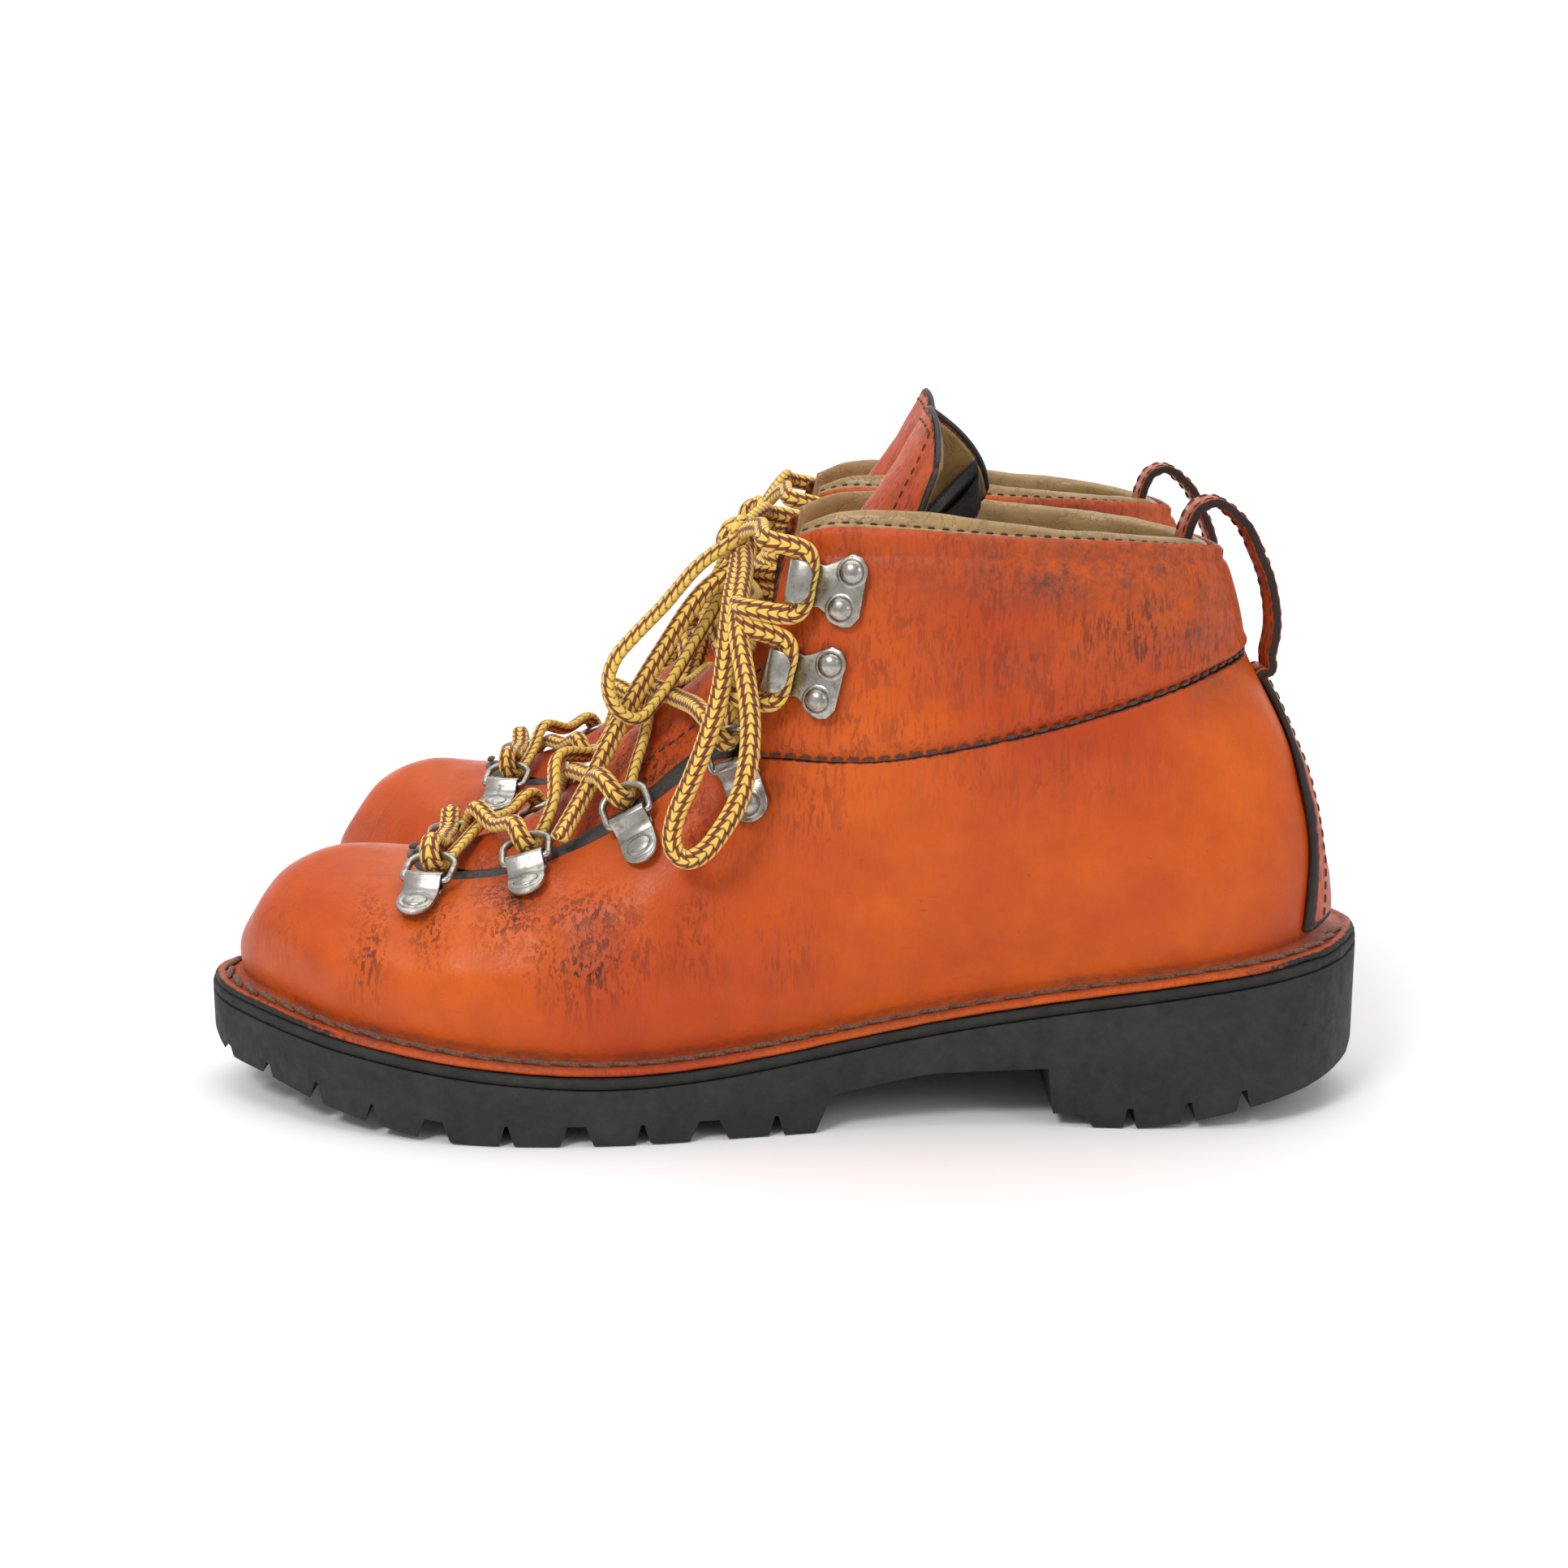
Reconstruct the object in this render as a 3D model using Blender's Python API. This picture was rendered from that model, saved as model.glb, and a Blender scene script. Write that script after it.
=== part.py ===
"""A pair of lace-up leather mountaineering boots.

One boot is designed in its own frame and built twice, the right one as the mirror image of the
left. A design point is (x, w, z) in millimetres: x runs from the toe (negative) to the heel, w
points to the outer (lateral) side of the foot and z points up from the ground.
"""
from math import acos, cos, pi, radians, sin

import bmesh
import bpy
import numpy as np
from mathutils import Matrix, Vector

MM = 0.001
GAP = 0.3                  # clearance between two pieces that touch on the real boot

# Driving dimensions of one boot
TOE_X = -152.3
HEEL_X = 150.7
MID_X = (TOE_X + HEEL_X) / 2
HALF_LENGTH = (HEEL_X - TOE_X) / 2
LEATHER = 2.3
FLANGE = 2.2
MIDSOLE = 2.6
FOOTBED = 4.0
LUG_DEPTH = 5.0
WELT_INSET = 6.0           # from the outsole's edge to the crease where the upper rises

# The pair on the ground
SPACING = 115.0            # between the two boots' mid planes
STAGGER = 6.0              # the right boot stands this much further back

# Hardware
RING_WIRE = 1.0            # radius
RING_HALF_WIDTH = 6.2
RING_REACH = 9.2           # from the ring's bar to the middle of its arc
RING_TILT = radians(8)
EYE_HOLE = 1.35
EYE_RADIUS = 2.2
BRACKET_WIDTH = 9.8
PLATE = 1.3
LACE_RADIUS = 1.9

COLUMNS = 30               # around the boot
RUBBER_TOP = [(-152, 28.5), (-130, 25.5), (-100, 21.6), (-70, 18.4), (-45, 16.9), (-20, 17.9),
              (10, 22), (50, 28.6), (90, 35), (125, 40), (151, 42.5)]
GROUND_LINE = [(-153, 17), (-147, 12.5), (-132, 9.5), (-106, 3.6), (-85, 0.4), (-76, 0)]
HEEL_WEAR = [(92, 0), (104, 2), (117, 4.8), (133, 8), (147, 11.5), (151, 16)]


# ---------------------------------------------------------------- curves and outlines

def smooth(keys, values, at, period=None):
    """Read a smooth curve through values, placed at keys, at each place in at."""
    keys = np.asarray(keys, float)
    values = np.asarray(values, float)
    if period:
        keys = np.concatenate([keys[-2:] - period, keys, keys[:2] + period])
        values = np.concatenate([values[-2:], values, values[:2]])
    slopes = np.gradient(values, keys, axis=0)
    at = np.clip(np.atleast_1d(np.asarray(at, float)), keys[0], keys[-1])
    i = np.clip(np.searchsorted(keys, at, side="right") - 1, 0, len(keys) - 2)
    shape = (-1,) + (1,) * (values.ndim - 1)
    step = (keys[i + 1] - keys[i]).reshape(shape)
    t = ((at - keys[i]).reshape(shape)) / step
    return ((1 + 2 * t) * (1 - t) ** 2 * values[i] + t * (1 - t) ** 2 * step * slopes[i]
            + t * t * (3 - 2 * t) * values[i + 1] + t * t * (t - 1) * step * slopes[i + 1])


def along(points, count):
    """Points spread evenly along a smooth curve through the given points."""
    points = np.asarray(points, float)
    keys = np.concatenate([[0], np.cumsum(np.linalg.norm(np.diff(points, axis=0), axis=1))])
    fine = smooth(keys, points, np.linspace(0, keys[-1], 40 * len(points)))
    length = np.concatenate([[0], np.cumsum(np.linalg.norm(np.diff(fine, axis=0), axis=1))])
    where = np.linspace(0, length[-1], count)
    return np.stack([np.interp(where, length, fine[:, k]) for k in range(points.shape[1])], -1)


def height(line, x):
    keys, values = np.array(line).T
    return smooth(keys, values, x)


def turn(x):
    """The angle around the outline, 0 at the toe and pi at the heel, of a place along the boot."""
    return acos(max(-1.0, min(1.0, (MID_X - x) / HALF_LENGTH)))


# Half widths of the outsole: place along the boot, outer side, inner side
HALF_WIDTHS = [(-147, 12, 17), (-135, 24, 31), (-110, 41, 45.5), (-75, 51.5, 51), (-40, 51.5, 46),
               (-5, 45, 35.5), (30, 38.5, 34), (60, 37.5, 37), (95, 39.5, 39), (120, 37.5, 36.5),
               (137, 28, 28), (147.5, 13, 13)]
OUTLINE_TURNS = ([-turn(x) for x, _, _ in reversed(HALF_WIDTHS)] + [0]
                 + [turn(x) for x, _, _ in HALF_WIDTHS] + [pi])
OUTLINE_WIDTHS = ([-inner for _, _, inner in reversed(HALF_WIDTHS)] + [-4]
                  + [outer for _, outer, _ in HALF_WIDTHS] + [0])


def outline(turns, inset=0.0):
    """Places (x, w) on the outsole's outline, moved inwards; turns are below 0 on the inner side."""
    def curve(a):
        width = smooth(OUTLINE_TURNS, OUTLINE_WIDTHS, a, period=2 * pi)
        return np.stack([MID_X - HALF_LENGTH * np.cos(a), width], -1)
    turns = np.asarray(turns, float)
    along_edge = curve(wrap(turns + 0.02)) - curve(wrap(turns - 0.02))
    along_edge[:, 0] = HALF_LENGTH * (np.cos(turns - 0.02) - np.cos(turns + 0.02))
    outward = np.stack([-along_edge[:, 1], along_edge[:, 0]], -1)
    outward /= np.linalg.norm(outward, axis=1, keepdims=True)
    return curve(turns) - inset * outward


def wrap(angles):
    return (np.asarray(angles) + pi) % (2 * pi) - pi


# ---------------------------------------------------------------- the leather surfaces

# Ribs of the upper, from the toe round the outer side to the heel: place of the rib's foot, share
# of the outer side's width that the inner side has, then four points from low to the top edge
RIBS = [
    (TOE_X, 1, [(-139.6, -2, 47.5), (-132, -1, 57), (-117, 0, 63.5), (-98, 0, 62)]),
    (-144, 1, [(-134.6, 16, 46.5), (-127, 13.5, 55.5), (-114, 9, 61.8), (-97, 6, 61.6)]),
    (-130, 1.08, [(-121, 30, 44), (-115, 26, 52.5), (-106, 20, 58.5), (-93, 13, 60.2)]),
    (-106, 1.06, [(-101, 41, 41), (-97, 36.5, 49.5), (-92, 28.5, 55.5), (-84.5, 17.3, 59.2)]),
    (-77, 0.99, [(-76, 47.5, 39), (-74, 42.5, 48.5), (-71, 34, 56.5), (-66, 20.5, 62.8)]),
    (-45, 0.93, [(-45, 47.5, 39), (-45, 43.5, 51), (-44, 36, 62.5), (-42, 24.2, 74.5)]),
    (-13, 0.88, [(-15, 43.5, 43), (-17, 41, 59), (-19, 36, 75), (-19, 27.5, 92)]),
    (14, 0.9, [(12, 39, 48), (7, 38.5, 64), (-1, 37.5, 80), (-8, 33.5, 94)]),
    (45, 0.97, [(43, 38.5, 54), (38, 40, 68), (30, 41, 82), (21, 40.5, 94)]),
    (78, 0.99, [(76, 39, 58), (72, 39.5, 73), (66, 40.5, 88), (58, 41.5, 100.5)]),
    (112, 1, [(108, 36.8, 62), (104, 36, 78), (98, 35.5, 94), (90, 35.5, 109)]),
    (138, 1, [(130.7, 23.5, 66), (127, 23, 82), (121, 21.5, 98), (110, 19.5, 114.5)]),
    (HEEL_X, 1, [(138.2, 0, 67), (134, 0, 83), (127, 0, 99), (118.5, 0, 116.5)]),
]
RIB_TURNS = [turn(rib[0]) for rib in RIBS]
RIB_SHARE = [0, 0.11, 0.26, 0.46, 0.7, 1]      # heights of a rib's six points along the rib
FRONT_TURN = turn(6)                           # where the cuff's front edge meets the upper

# Ribs of the cuff from its front edge to the heel: turn, then four points above the seam
CUFF_RIBS = [
    (FRONT_TURN, [(-8.6, 28.5, 107), (-4.6, 27, 120), (-2.4, 26.3, 136), (1.5, 28, 148)]),
    (turn(20), [(1, 35, 108), (3, 33.5, 122), (5.5, 32, 137), (9.5, 31, 150.8)]),
    (turn(45), [(20.5, 40, 109), (20.5, 38.5, 123), (22, 36.5, 138), (25, 34.5, 151)]),
    (turn(78), [(56, 42, 112), (53.5, 41.5, 125), (52, 40, 138), (51, 37.5, 149.3)]),
    (turn(112), [(88.5, 36.5, 118), (86, 37.5, 128), (84, 37, 139), (82.5, 35.5, 147.5)]),
    (turn(138), [(109.5, 21, 121), (107.5, 22.5, 129), (105.5, 22.5, 137.5), (102.5, 21.5, 145.3)]),
    (pi, [(117.8, 0, 123), (115.8, 0, 130), (113.3, 0, 137.5), (110.8, 0, 143)]),
]
CUFF_SHARE = [0, 0.25, 0.5, 0.75, 1]


def both_sides(turns, nets, shares):
    """Continue ribs given for the outer side round the inner side, mirrored."""
    low = slice(1, -1) if turns[0] == 0 else slice(0, -1)
    mirrored = nets[low][::-1] * np.array([1, -1, 1])
    mirrored[:, :, 1] *= shares[low][::-1]
    return np.concatenate([-np.array(turns)[low][::-1], turns]), np.concatenate([mirrored, nets])


def upper_points(turns, heights):
    """The upper's outside, as a grid of turns by heights, 0 at the welt and 1 at the top edge."""
    turns = np.asarray(turns, float)
    nets = np.array([rib[2] for rib in RIBS], float)
    fade = np.array([0.85, 0.6, 0.35, 0])
    shares = np.array([1 + (rib[1] - 1) * fade for rib in RIBS])
    keys, nets = both_sides(RIB_TURNS, nets, shares)
    rows = smooth(keys, nets, turns, period=2 * pi)
    foot = outline(turns, WELT_INSET)
    swell = outline(turns, WELT_INSET - 2.2)
    toe, heel = np.clip((-112 - foot[:, 0]) / 34, 0, 1), np.clip((foot[:, 0] - 100) / 40, 0, 1)
    foot[:, 0] += 2.1 * toe - 3.2 * heel
    swell[:, 0] += 3.8 * toe - 5.2 * heel
    base = height(RUBBER_TOP, foot[:, 0]) + FLANGE
    foot = np.concatenate([foot, base[:, None]], 1)
    swell = np.concatenate([swell, base[:, None] + 8], 1)
    rows = np.concatenate([foot[:, None], swell[:, None], rows], 1)
    return smooth(RIB_SHARE, rows.transpose(1, 0, 2), heights).transpose(1, 0, 2)


def cuff_points(turns, heights, above_seam=0.9):
    """The cuff's outside, from the outer front edge round the heel to the inner front edge."""
    turns = np.asarray(turns, float)
    nets = np.array([rib[1] for rib in CUFF_RIBS], float)
    keys = np.array([rib[0] for rib in CUFF_RIBS])
    mirrored = nets[:-1][::-1] * np.array([1, -1, 1])
    rows = smooth(np.concatenate([keys, 2 * pi - keys[:-1][::-1]]),
                  np.concatenate([nets, mirrored]), turns)
    seam = upper_points(wrap(turns), [1.0])[:, 0]
    seam[:, 2] += above_seam
    rows = np.concatenate([seam[:, None], rows], 1)
    return smooth(CUFF_SHARE, rows.transpose(1, 0, 2), heights).transpose(1, 0, 2)


def inwards(grid, closed):
    """Unit normals of a grid of turns by heights that point into the boot."""
    if closed:
        across = np.roll(grid, -1, 0) - np.roll(grid, 1, 0)
    else:
        across = np.gradient(grid, axis=0)
    normals = np.cross(across, np.gradient(grid, axis=1))
    normals /= np.linalg.norm(normals, axis=2, keepdims=True)
    return normals


# ---------------------------------------------------------------- mesh helpers

class Boot:
    """One boot of the pair: where it stands and which way its outer side points."""

    def __init__(self, name, side):
        self.name = name
        self.side = side
        self.base = bpy.data.objects.new(name + "_place", None)
        self.base.location = (side * STAGGER / 2 * MM, side * SPACING / 2 * MM, 0)
        bpy.context.scene.collection.objects.link(self.base)

    def local(self, point):
        """A design point as a vector in metres in this boot's frame."""
        return Vector((point[0] * MM, point[1] * self.side * MM, point[2] * MM))

    def add(self, name, mesh, material, pivot=(0, 0, 0)):
        """Link a mesh made in this boot's frame, with its origin at the pivot."""
        pivot = self.local(pivot)
        mesh.transform(Matrix.Translation(-pivot))
        mesh.materials.clear()
        mesh.materials.append(material)
        mesh.shade_smooth()
        mesh.set_sharp_from_angle(angle=radians(40))
        piece = bpy.data.objects.new(self.name + "_" + name, mesh)
        piece.parent = self.base
        piece.location = pivot
        bpy.context.scene.collection.objects.link(piece)
        return piece


def mesh_of(bm, name):
    bmesh.ops.recalc_face_normals(bm, faces=bm.faces)
    mesh = bpy.data.meshes.new(name)
    bm.to_mesh(mesh)
    bm.free()
    return mesh


def ring_solid(boot, loops, closed=False, name="solid"):
    """A closed body through loops of points; open rows of loops get a cap at each end."""
    bm = bmesh.new()
    rows = [[bm.verts.new(boot.local(point)) for point in loop] for loop in loops]
    size = len(rows[0])
    for i in range(len(rows) if closed else len(rows) - 1):
        here, ahead = rows[i], rows[(i + 1) % len(rows)]
        for k in range(size):
            bm.faces.new((here[k], here[(k + 1) % size], ahead[(k + 1) % size], ahead[k]))
    if not closed:
        bm.faces.new(rows[0])
        bm.faces.new(rows[-1])
    return mesh_of(bm, name)


def plank(boot, stations, edge, top, bottom, name="plank"):
    """A slab between two sides of an outline, from station to station along the boot."""
    loops = []
    for a in stations:
        (x_out, w_out), (x_in, w_in) = edge(a), edge(-a)
        loops.append([(x_out, w_out, bottom(x_out)), (x_out, w_out, top(x_out)),
                      (x_in, w_in, top(x_in)), (x_in, w_in, bottom(x_in))])
    return ring_solid(boot, loops, name=name)


def union(meshes, name, crossing=False):
    """Join closed meshes into one closed body; crossing is for meshes that pass through themselves."""
    helpers = [bpy.data.objects.new("helper", mesh) for mesh in meshes]
    for helper in helpers:
        bpy.context.scene.collection.objects.link(helper)
    for other in helpers[1:]:
        step = helpers[0].modifiers.new("union", "BOOLEAN")
        step.operation = "UNION"
        step.solver = "EXACT"
        step.use_self = crossing
        step.object = other
    evaluated = helpers[0].evaluated_get(bpy.context.evaluated_depsgraph_get())
    joined = bpy.data.meshes.new_from_object(evaluated)
    joined.name = name
    for helper in helpers:
        bpy.data.objects.remove(helper, do_unlink=True)
    return joined


def material(name, colour, roughness, metallic=0.0):
    made = bpy.data.materials.new(name)
    made.use_nodes = True
    shader = made.node_tree.nodes["Principled BSDF"]
    shader.inputs["Base Color"].default_value = (*colour, 1)
    shader.inputs["Roughness"].default_value = roughness
    shader.inputs["Metallic"].default_value = metallic
    made.diffuse_color = (*colour, 1)
    return made


def make_materials():
    return {
        "leather": material("orange_leather", (0.62, 0.10, 0.025), 0.45),
        "lining": material("tan_leather", (0.38, 0.22, 0.08), 0.5),
        "rubber": material("black_rubber", (0.04, 0.042, 0.038), 0.75),
        "midsole": material("midsole_rubber", (0.028, 0.028, 0.026), 0.8),
        "footbed": material("footbed_felt", (0.07, 0.06, 0.05), 0.9),
        "metal": material("nickel_steel", (0.55, 0.53, 0.48), 0.35, 1.0),
        "lace": material("yellow_lace", (0.70, 0.46, 0.09), 0.8),
    }


# ---------------------------------------------------------------- sole and footbed

# Grooves between the lugs: middle, width at the ground, width at the ceiling, depth
FOREFOOT_GROOVES = [(-145, 3, 1, 2.2), (-132.5, 3, 1, 3), (-118, 3.8, 0.8, LUG_DEPTH),
                    (-102.7, 3.8, 0.8, LUG_DEPTH), (-86.7, 8.3, 4.5, LUG_DEPTH),
                    (-68.4, 3.8, 0.8, LUG_DEPTH), (-51, 8.3, 4.5, LUG_DEPTH),
                    (-34.8, 3.8, 0.8, LUG_DEPTH), (-18.5, 9.5, 5, LUG_DEPTH),
                    (-1.8, 3.8, 0.8, LUG_DEPTH)]
HEEL_GROOVES = [(87.2, 3.4, 1.6, LUG_DEPTH), (101.8, 3.8, 1.6, LUG_DEPTH),
                (115.8, 3.6, 1.4, LUG_DEPTH)]
FOREFOOT_END = 8.0
WAIST_LINE = [(12.0, 9.5), (37, 13.8), (66.5, 15)]
HEEL_BREAST = [(68, 3.2), (75.5, 3.2), (78, 0)]


def ground(x):
    """Height of the worn tread's underside: it rises to the toe and to the back of the heel."""
    return height(GROUND_LINE, x)[0] + height(HEEL_WEAR, x)[0]


def groove(middle, wide, narrow, depth):
    """A groove's four corners in the outsole's underside."""
    places = [middle - wide / 2, middle - narrow / 2, middle + narrow / 2, middle + wide / 2]
    return [(x, ground(x) + rise) for x, rise in zip(places, [0, depth, depth, 0])]


def tread_line():
    """The outsole's underside as (x, z) points with grooves between the lugs."""
    points = [(TOE_X + 0.4, ground(TOE_X))]
    for shape in FOREFOOT_GROOVES:
        points += groove(*shape)
    points += [(FOREFOOT_END, 0), *WAIST_LINE, *HEEL_BREAST]
    for shape in HEEL_GROOVES:
        points += groove(*shape)
    return points + [(x, ground(x)) for x, _ in HEEL_WEAR[3:]]


def edge_at(x, inset):
    """Half widths of the outline, moved inwards, at a place along the boot."""
    around = np.linspace(0.001, pi - 0.001, 400)
    outer = outline(around, inset)
    inner = outline(-around, inset)
    return np.interp(x, outer[:, 0], outer[:, 1]), np.interp(x, inner[:, 0], inner[:, 1])


def make_outsole(boot):
    loops = []
    for x, low in tread_line():
        w_out, w_in = edge_at(x, 0.0)
        high = height(RUBBER_TOP, x)[0] - MIDSOLE - GAP
        loops.append([(x, w_out, low), (x, w_out, high), (x, w_in, high), (x, w_in, low)])
    return ring_solid(boot, loops, name="outsole")


def slab_stations(count):
    return np.linspace(0.06, pi - 0.06, count)


def make_midsole(boot):
    return plank(boot, slab_stations(24), lambda a: outline([a], 0.3)[0],
                 lambda x: height(RUBBER_TOP, x)[0],
                 lambda x: height(RUBBER_TOP, x)[0] - MIDSOLE + GAP, "midsole")


def make_footbed(boot):
    inset = WELT_INSET + LEATHER + 5.2
    return plank(boot, slab_stations(22), lambda a: outline([a], inset)[0],
                 lambda x: height(RUBBER_TOP, x)[0] + 2 * GAP + FOOTBED,
                 lambda x: height(RUBBER_TOP, x)[0] + 2 * GAP, "footbed")


# ---------------------------------------------------------------- upper, cuff and lining

def make_upper(boot):
    turns = np.linspace(-pi, pi, COLUMNS, endpoint=False)
    heights = np.array([0, 0.06, 0.15, 0.3, 0.48, 0.66, 0.84, 1])
    outside = upper_points(turns, heights)
    inside = outside + LEATHER * inwards(outside, True)
    edge = outline(turns, 0.8)
    corner = outline(turns, WELT_INSET + LEATHER + 0.6)
    loops = []
    for i in range(len(turns)):
        under = height(RUBBER_TOP, edge[i, 0])[0] + GAP
        corner_z = height(RUBBER_TOP, corner[i, 0])[0] + GAP
        loops.append([(*edge[i], under), (*edge[i], under + FLANGE - GAP), *outside[i],
                      *inside[i, :1:-1], (*corner[i], corner_z)])
    return ring_solid(boot, loops, closed=True, name="upper")


def cuff_turns(count, trim=0.0):
    return np.linspace(FRONT_TURN + trim, 2 * pi - FRONT_TURN - trim, count)


def make_cuff(boot):
    outside = cuff_points(cuff_turns(26), np.linspace(0, 1, 6))
    inside = outside + LEATHER * inwards(outside, False)
    loops = [[*outer, *inner[::-1]] for outer, inner in zip(outside, inside)]
    return ring_solid(boot, loops, name="cuff")


PAD = 5.0                   # thickness of the padded collar
ROLL = 2.2                  # how far the padded roll stands above the cuff's leather


def make_lining(boot):
    turns = cuff_turns(21, 0.02)
    outside = cuff_points(turns, np.linspace(0.06, 1, 6))
    normals = inwards(outside, False)
    normals[:, :, 2] = 0
    normals /= np.linalg.norm(normals, axis=2, keepdims=True)
    loops = []
    for i in range(len(turns)):
        taper = min(1.0, 0.25 + 0.75 * min(i, len(turns) - 1 - i) / 3)
        outer = outside[i] + (LEATHER + 1.3) * normals[i]
        inner = outer + PAD * taper * normals[i]
        crest = (outer[-1] + inner[-1]) / 2 + np.array([0, 0, ROLL])
        loops.append([*outer, crest, *inner[::-1]])
    return ring_solid(boot, loops, name="lining")


# ---------------------------------------------------------------- tongue, backstay, pull loop

# The tongue from the throat upwards: its ridge (x, z) and its outer edge (x, w, z)
TONGUE = [
    ((-93, 62.6), (-91, 7, 60.8)), ((-80, 66.5), (-78, 13.2, 60)), ((-64, 73.2), (-61, 15.8, 62.8)),
    ((-50, 85.5), (-43, 18.5, 73)), ((-36, 97.5), (-27, 20.5, 86)), ((-20, 111), (-9, 20.5, 99)),
    ((-6, 124), (5, 20, 112)), ((8, 137.5), (19, 20, 127)), ((19, 150.5), (29, 20.5, 144)),
    ((28, 164), (35, 21.5, 160)), ((36, 177.5), (39.5, 20, 173.5)),
]
INNER_WING = {"left": (22, -13), "right": (0, 0)}      # how far the inner wing's top is folded back


def tongue_points(name, q, c):
    """The tongue's outside at share q of its length and at c across it, -1 inner to 1 outer."""
    keys = np.linspace(0, 1, len(TONGUE))
    ridge = smooth(keys, [row[0] for row in TONGUE], q)
    edge = smooth(keys, [row[1] for row in TONGUE], q)
    c = np.broadcast_to(c, edge[:, 0].shape)
    fold = np.clip((np.asarray(q) - 0.72) / 0.28, 0, 1) * (c < 0)
    back, down = INNER_WING[name]
    edge_x = edge[:, 0] + back * fold
    edge_z = edge[:, 2] + down * fold
    bend = np.abs(c) ** 1.5
    return np.stack([ridge[:, 0] + (edge_x - ridge[:, 0]) * bend, edge[:, 1] * c,
                     ridge[:, 1] + (edge_z - ridge[:, 1]) * bend], -1)


def make_tongue(boot):
    steps = np.linspace(0, 1, 13)
    grid = np.stack([tongue_points(boot.name, steps, c) for c in np.linspace(-1, 1, 9)], 1)
    back = grid - 3.0 * inwards(grid, False)
    loops = [[*front, *rear[::-1]] for front, rear in zip(grid, back)]
    return ring_solid(boot, loops, name="tongue")


def make_backstay(boot):
    """A strip over the heel seam, standing on the flange, that follows the heel's curve."""
    across = np.linspace(-1, 1, 5)
    loops = []
    for share in np.linspace(0.06, 0.86, 12):
        turns = pi + across * (0.20 + 0.03 * share)
        skin = upper_points(wrap(turns), np.array([share - 0.01, share, share + 0.01]))
        out = -inwards(skin, False)[:, 1]
        loops.append([*(skin[:, 1] + 0.8 * out), *(skin[:, 1] + 2.3 * out)[::-1]])
    return ring_solid(boot, loops, name="backstay")


LOOP_PATH = [(103.2, 149), (105, 152.2), (109, 154), (115, 150.5), (120.8, 141.5), (124.6, 131),
             (125.8, 121), (124.9, 115), (124.7, 110.8)]
LOOP_WIDTH = 13.0


def make_pull_loop(boot):
    path = along(LOOP_PATH, 16)
    ahead = np.gradient(path, axis=0)
    ahead /= np.linalg.norm(ahead, axis=1, keepdims=True)
    inner = path + 1.1 * np.stack([ahead[:, 1], -ahead[:, 0]], -1) * -1
    outer = path - 1.1 * np.stack([ahead[:, 1], -ahead[:, 0]], -1) * -1
    half = LOOP_WIDTH / 2
    loops = [[(a[0], -half, a[1]), (a[0], half, a[1]), (b[0], half, b[1]), (b[0], -half, b[1])]
             for a, b in zip(inner, outer)]
    return ring_solid(boot, loops, name="pull_loop")


# ---------------------------------------------------------------- metal hardware

class Seat:
    """A place for hardware on the leather: back points away from the throat, out off the skin."""

    def __init__(self, fold, rivet, skin, skin_normals):
        fold, rivet = np.array(fold, float), np.array(rivet, float)
        nearest = np.argmin(np.linalg.norm(skin - (fold + rivet) / 2, axis=1))
        self.out = -skin_normals[nearest]
        back = rivet - fold
        back -= self.out * back.dot(self.out)
        self.back = back / np.linalg.norm(back)
        self.side = np.cross(self.out, self.back)
        self.rise(fold, skin)

    def rise(self, fold, skin):
        """Put the seat's plane just clear of the highest leather under it."""
        offsets = skin - fold
        s, t = offsets @ self.back, offsets @ self.side
        under = (s > -3.5) & (s < 16) & (np.abs(t) < 7) & (np.abs(offsets @ self.out) < 12)
        top = (offsets[under] @ self.out).max() if under.any() else 0.0
        self.origin = fold + self.out * (top + 3.2 * GAP)

    def at(self, s, t, n):
        """A design point s behind the fold, t along the throat and n off the leather."""
        return self.origin + s * self.back + t * self.side + n * self.out


def extrude_profile(boot, seat, profile, half_width, hole=None):
    """Extrude an (s, n) profile along the throat; hole is a matching inner loop of points."""
    outer = [[seat.at(s, t, n) for s, n in profile] for t in (-half_width, half_width)]
    if hole is None:
        return ring_solid(boot, outer)
    bm = bmesh.new()
    inner = [[seat.at(s, t, n) for s, n in hole] for t in (-half_width, half_width)]
    rows = [[bm.verts.new(boot.local(p)) for p in loop] for loop in (*outer, *inner)]
    count = len(profile)
    for k in range(count):
        j = (k + 1) % count
        for first, second in ((0, 1), (3, 2), (1, 3), (2, 0)):
            bm.faces.new((rows[first][k], rows[first][j], rows[second][j], rows[second][k]))
    return mesh_of(bm, "profile")


def turned(boot, seat, s, t, profile, sides=10, stretch=1.0):
    """A round solid that stands off the leather at (s, t), from (radius, height) points."""
    loops = [[seat.at(s + radius * cos(2 * pi * k / sides), t + stretch * radius
                      * sin(2 * pi * k / sides), n) for k in range(sides)] for radius, n in profile]
    return ring_solid(boot, loops)


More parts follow.
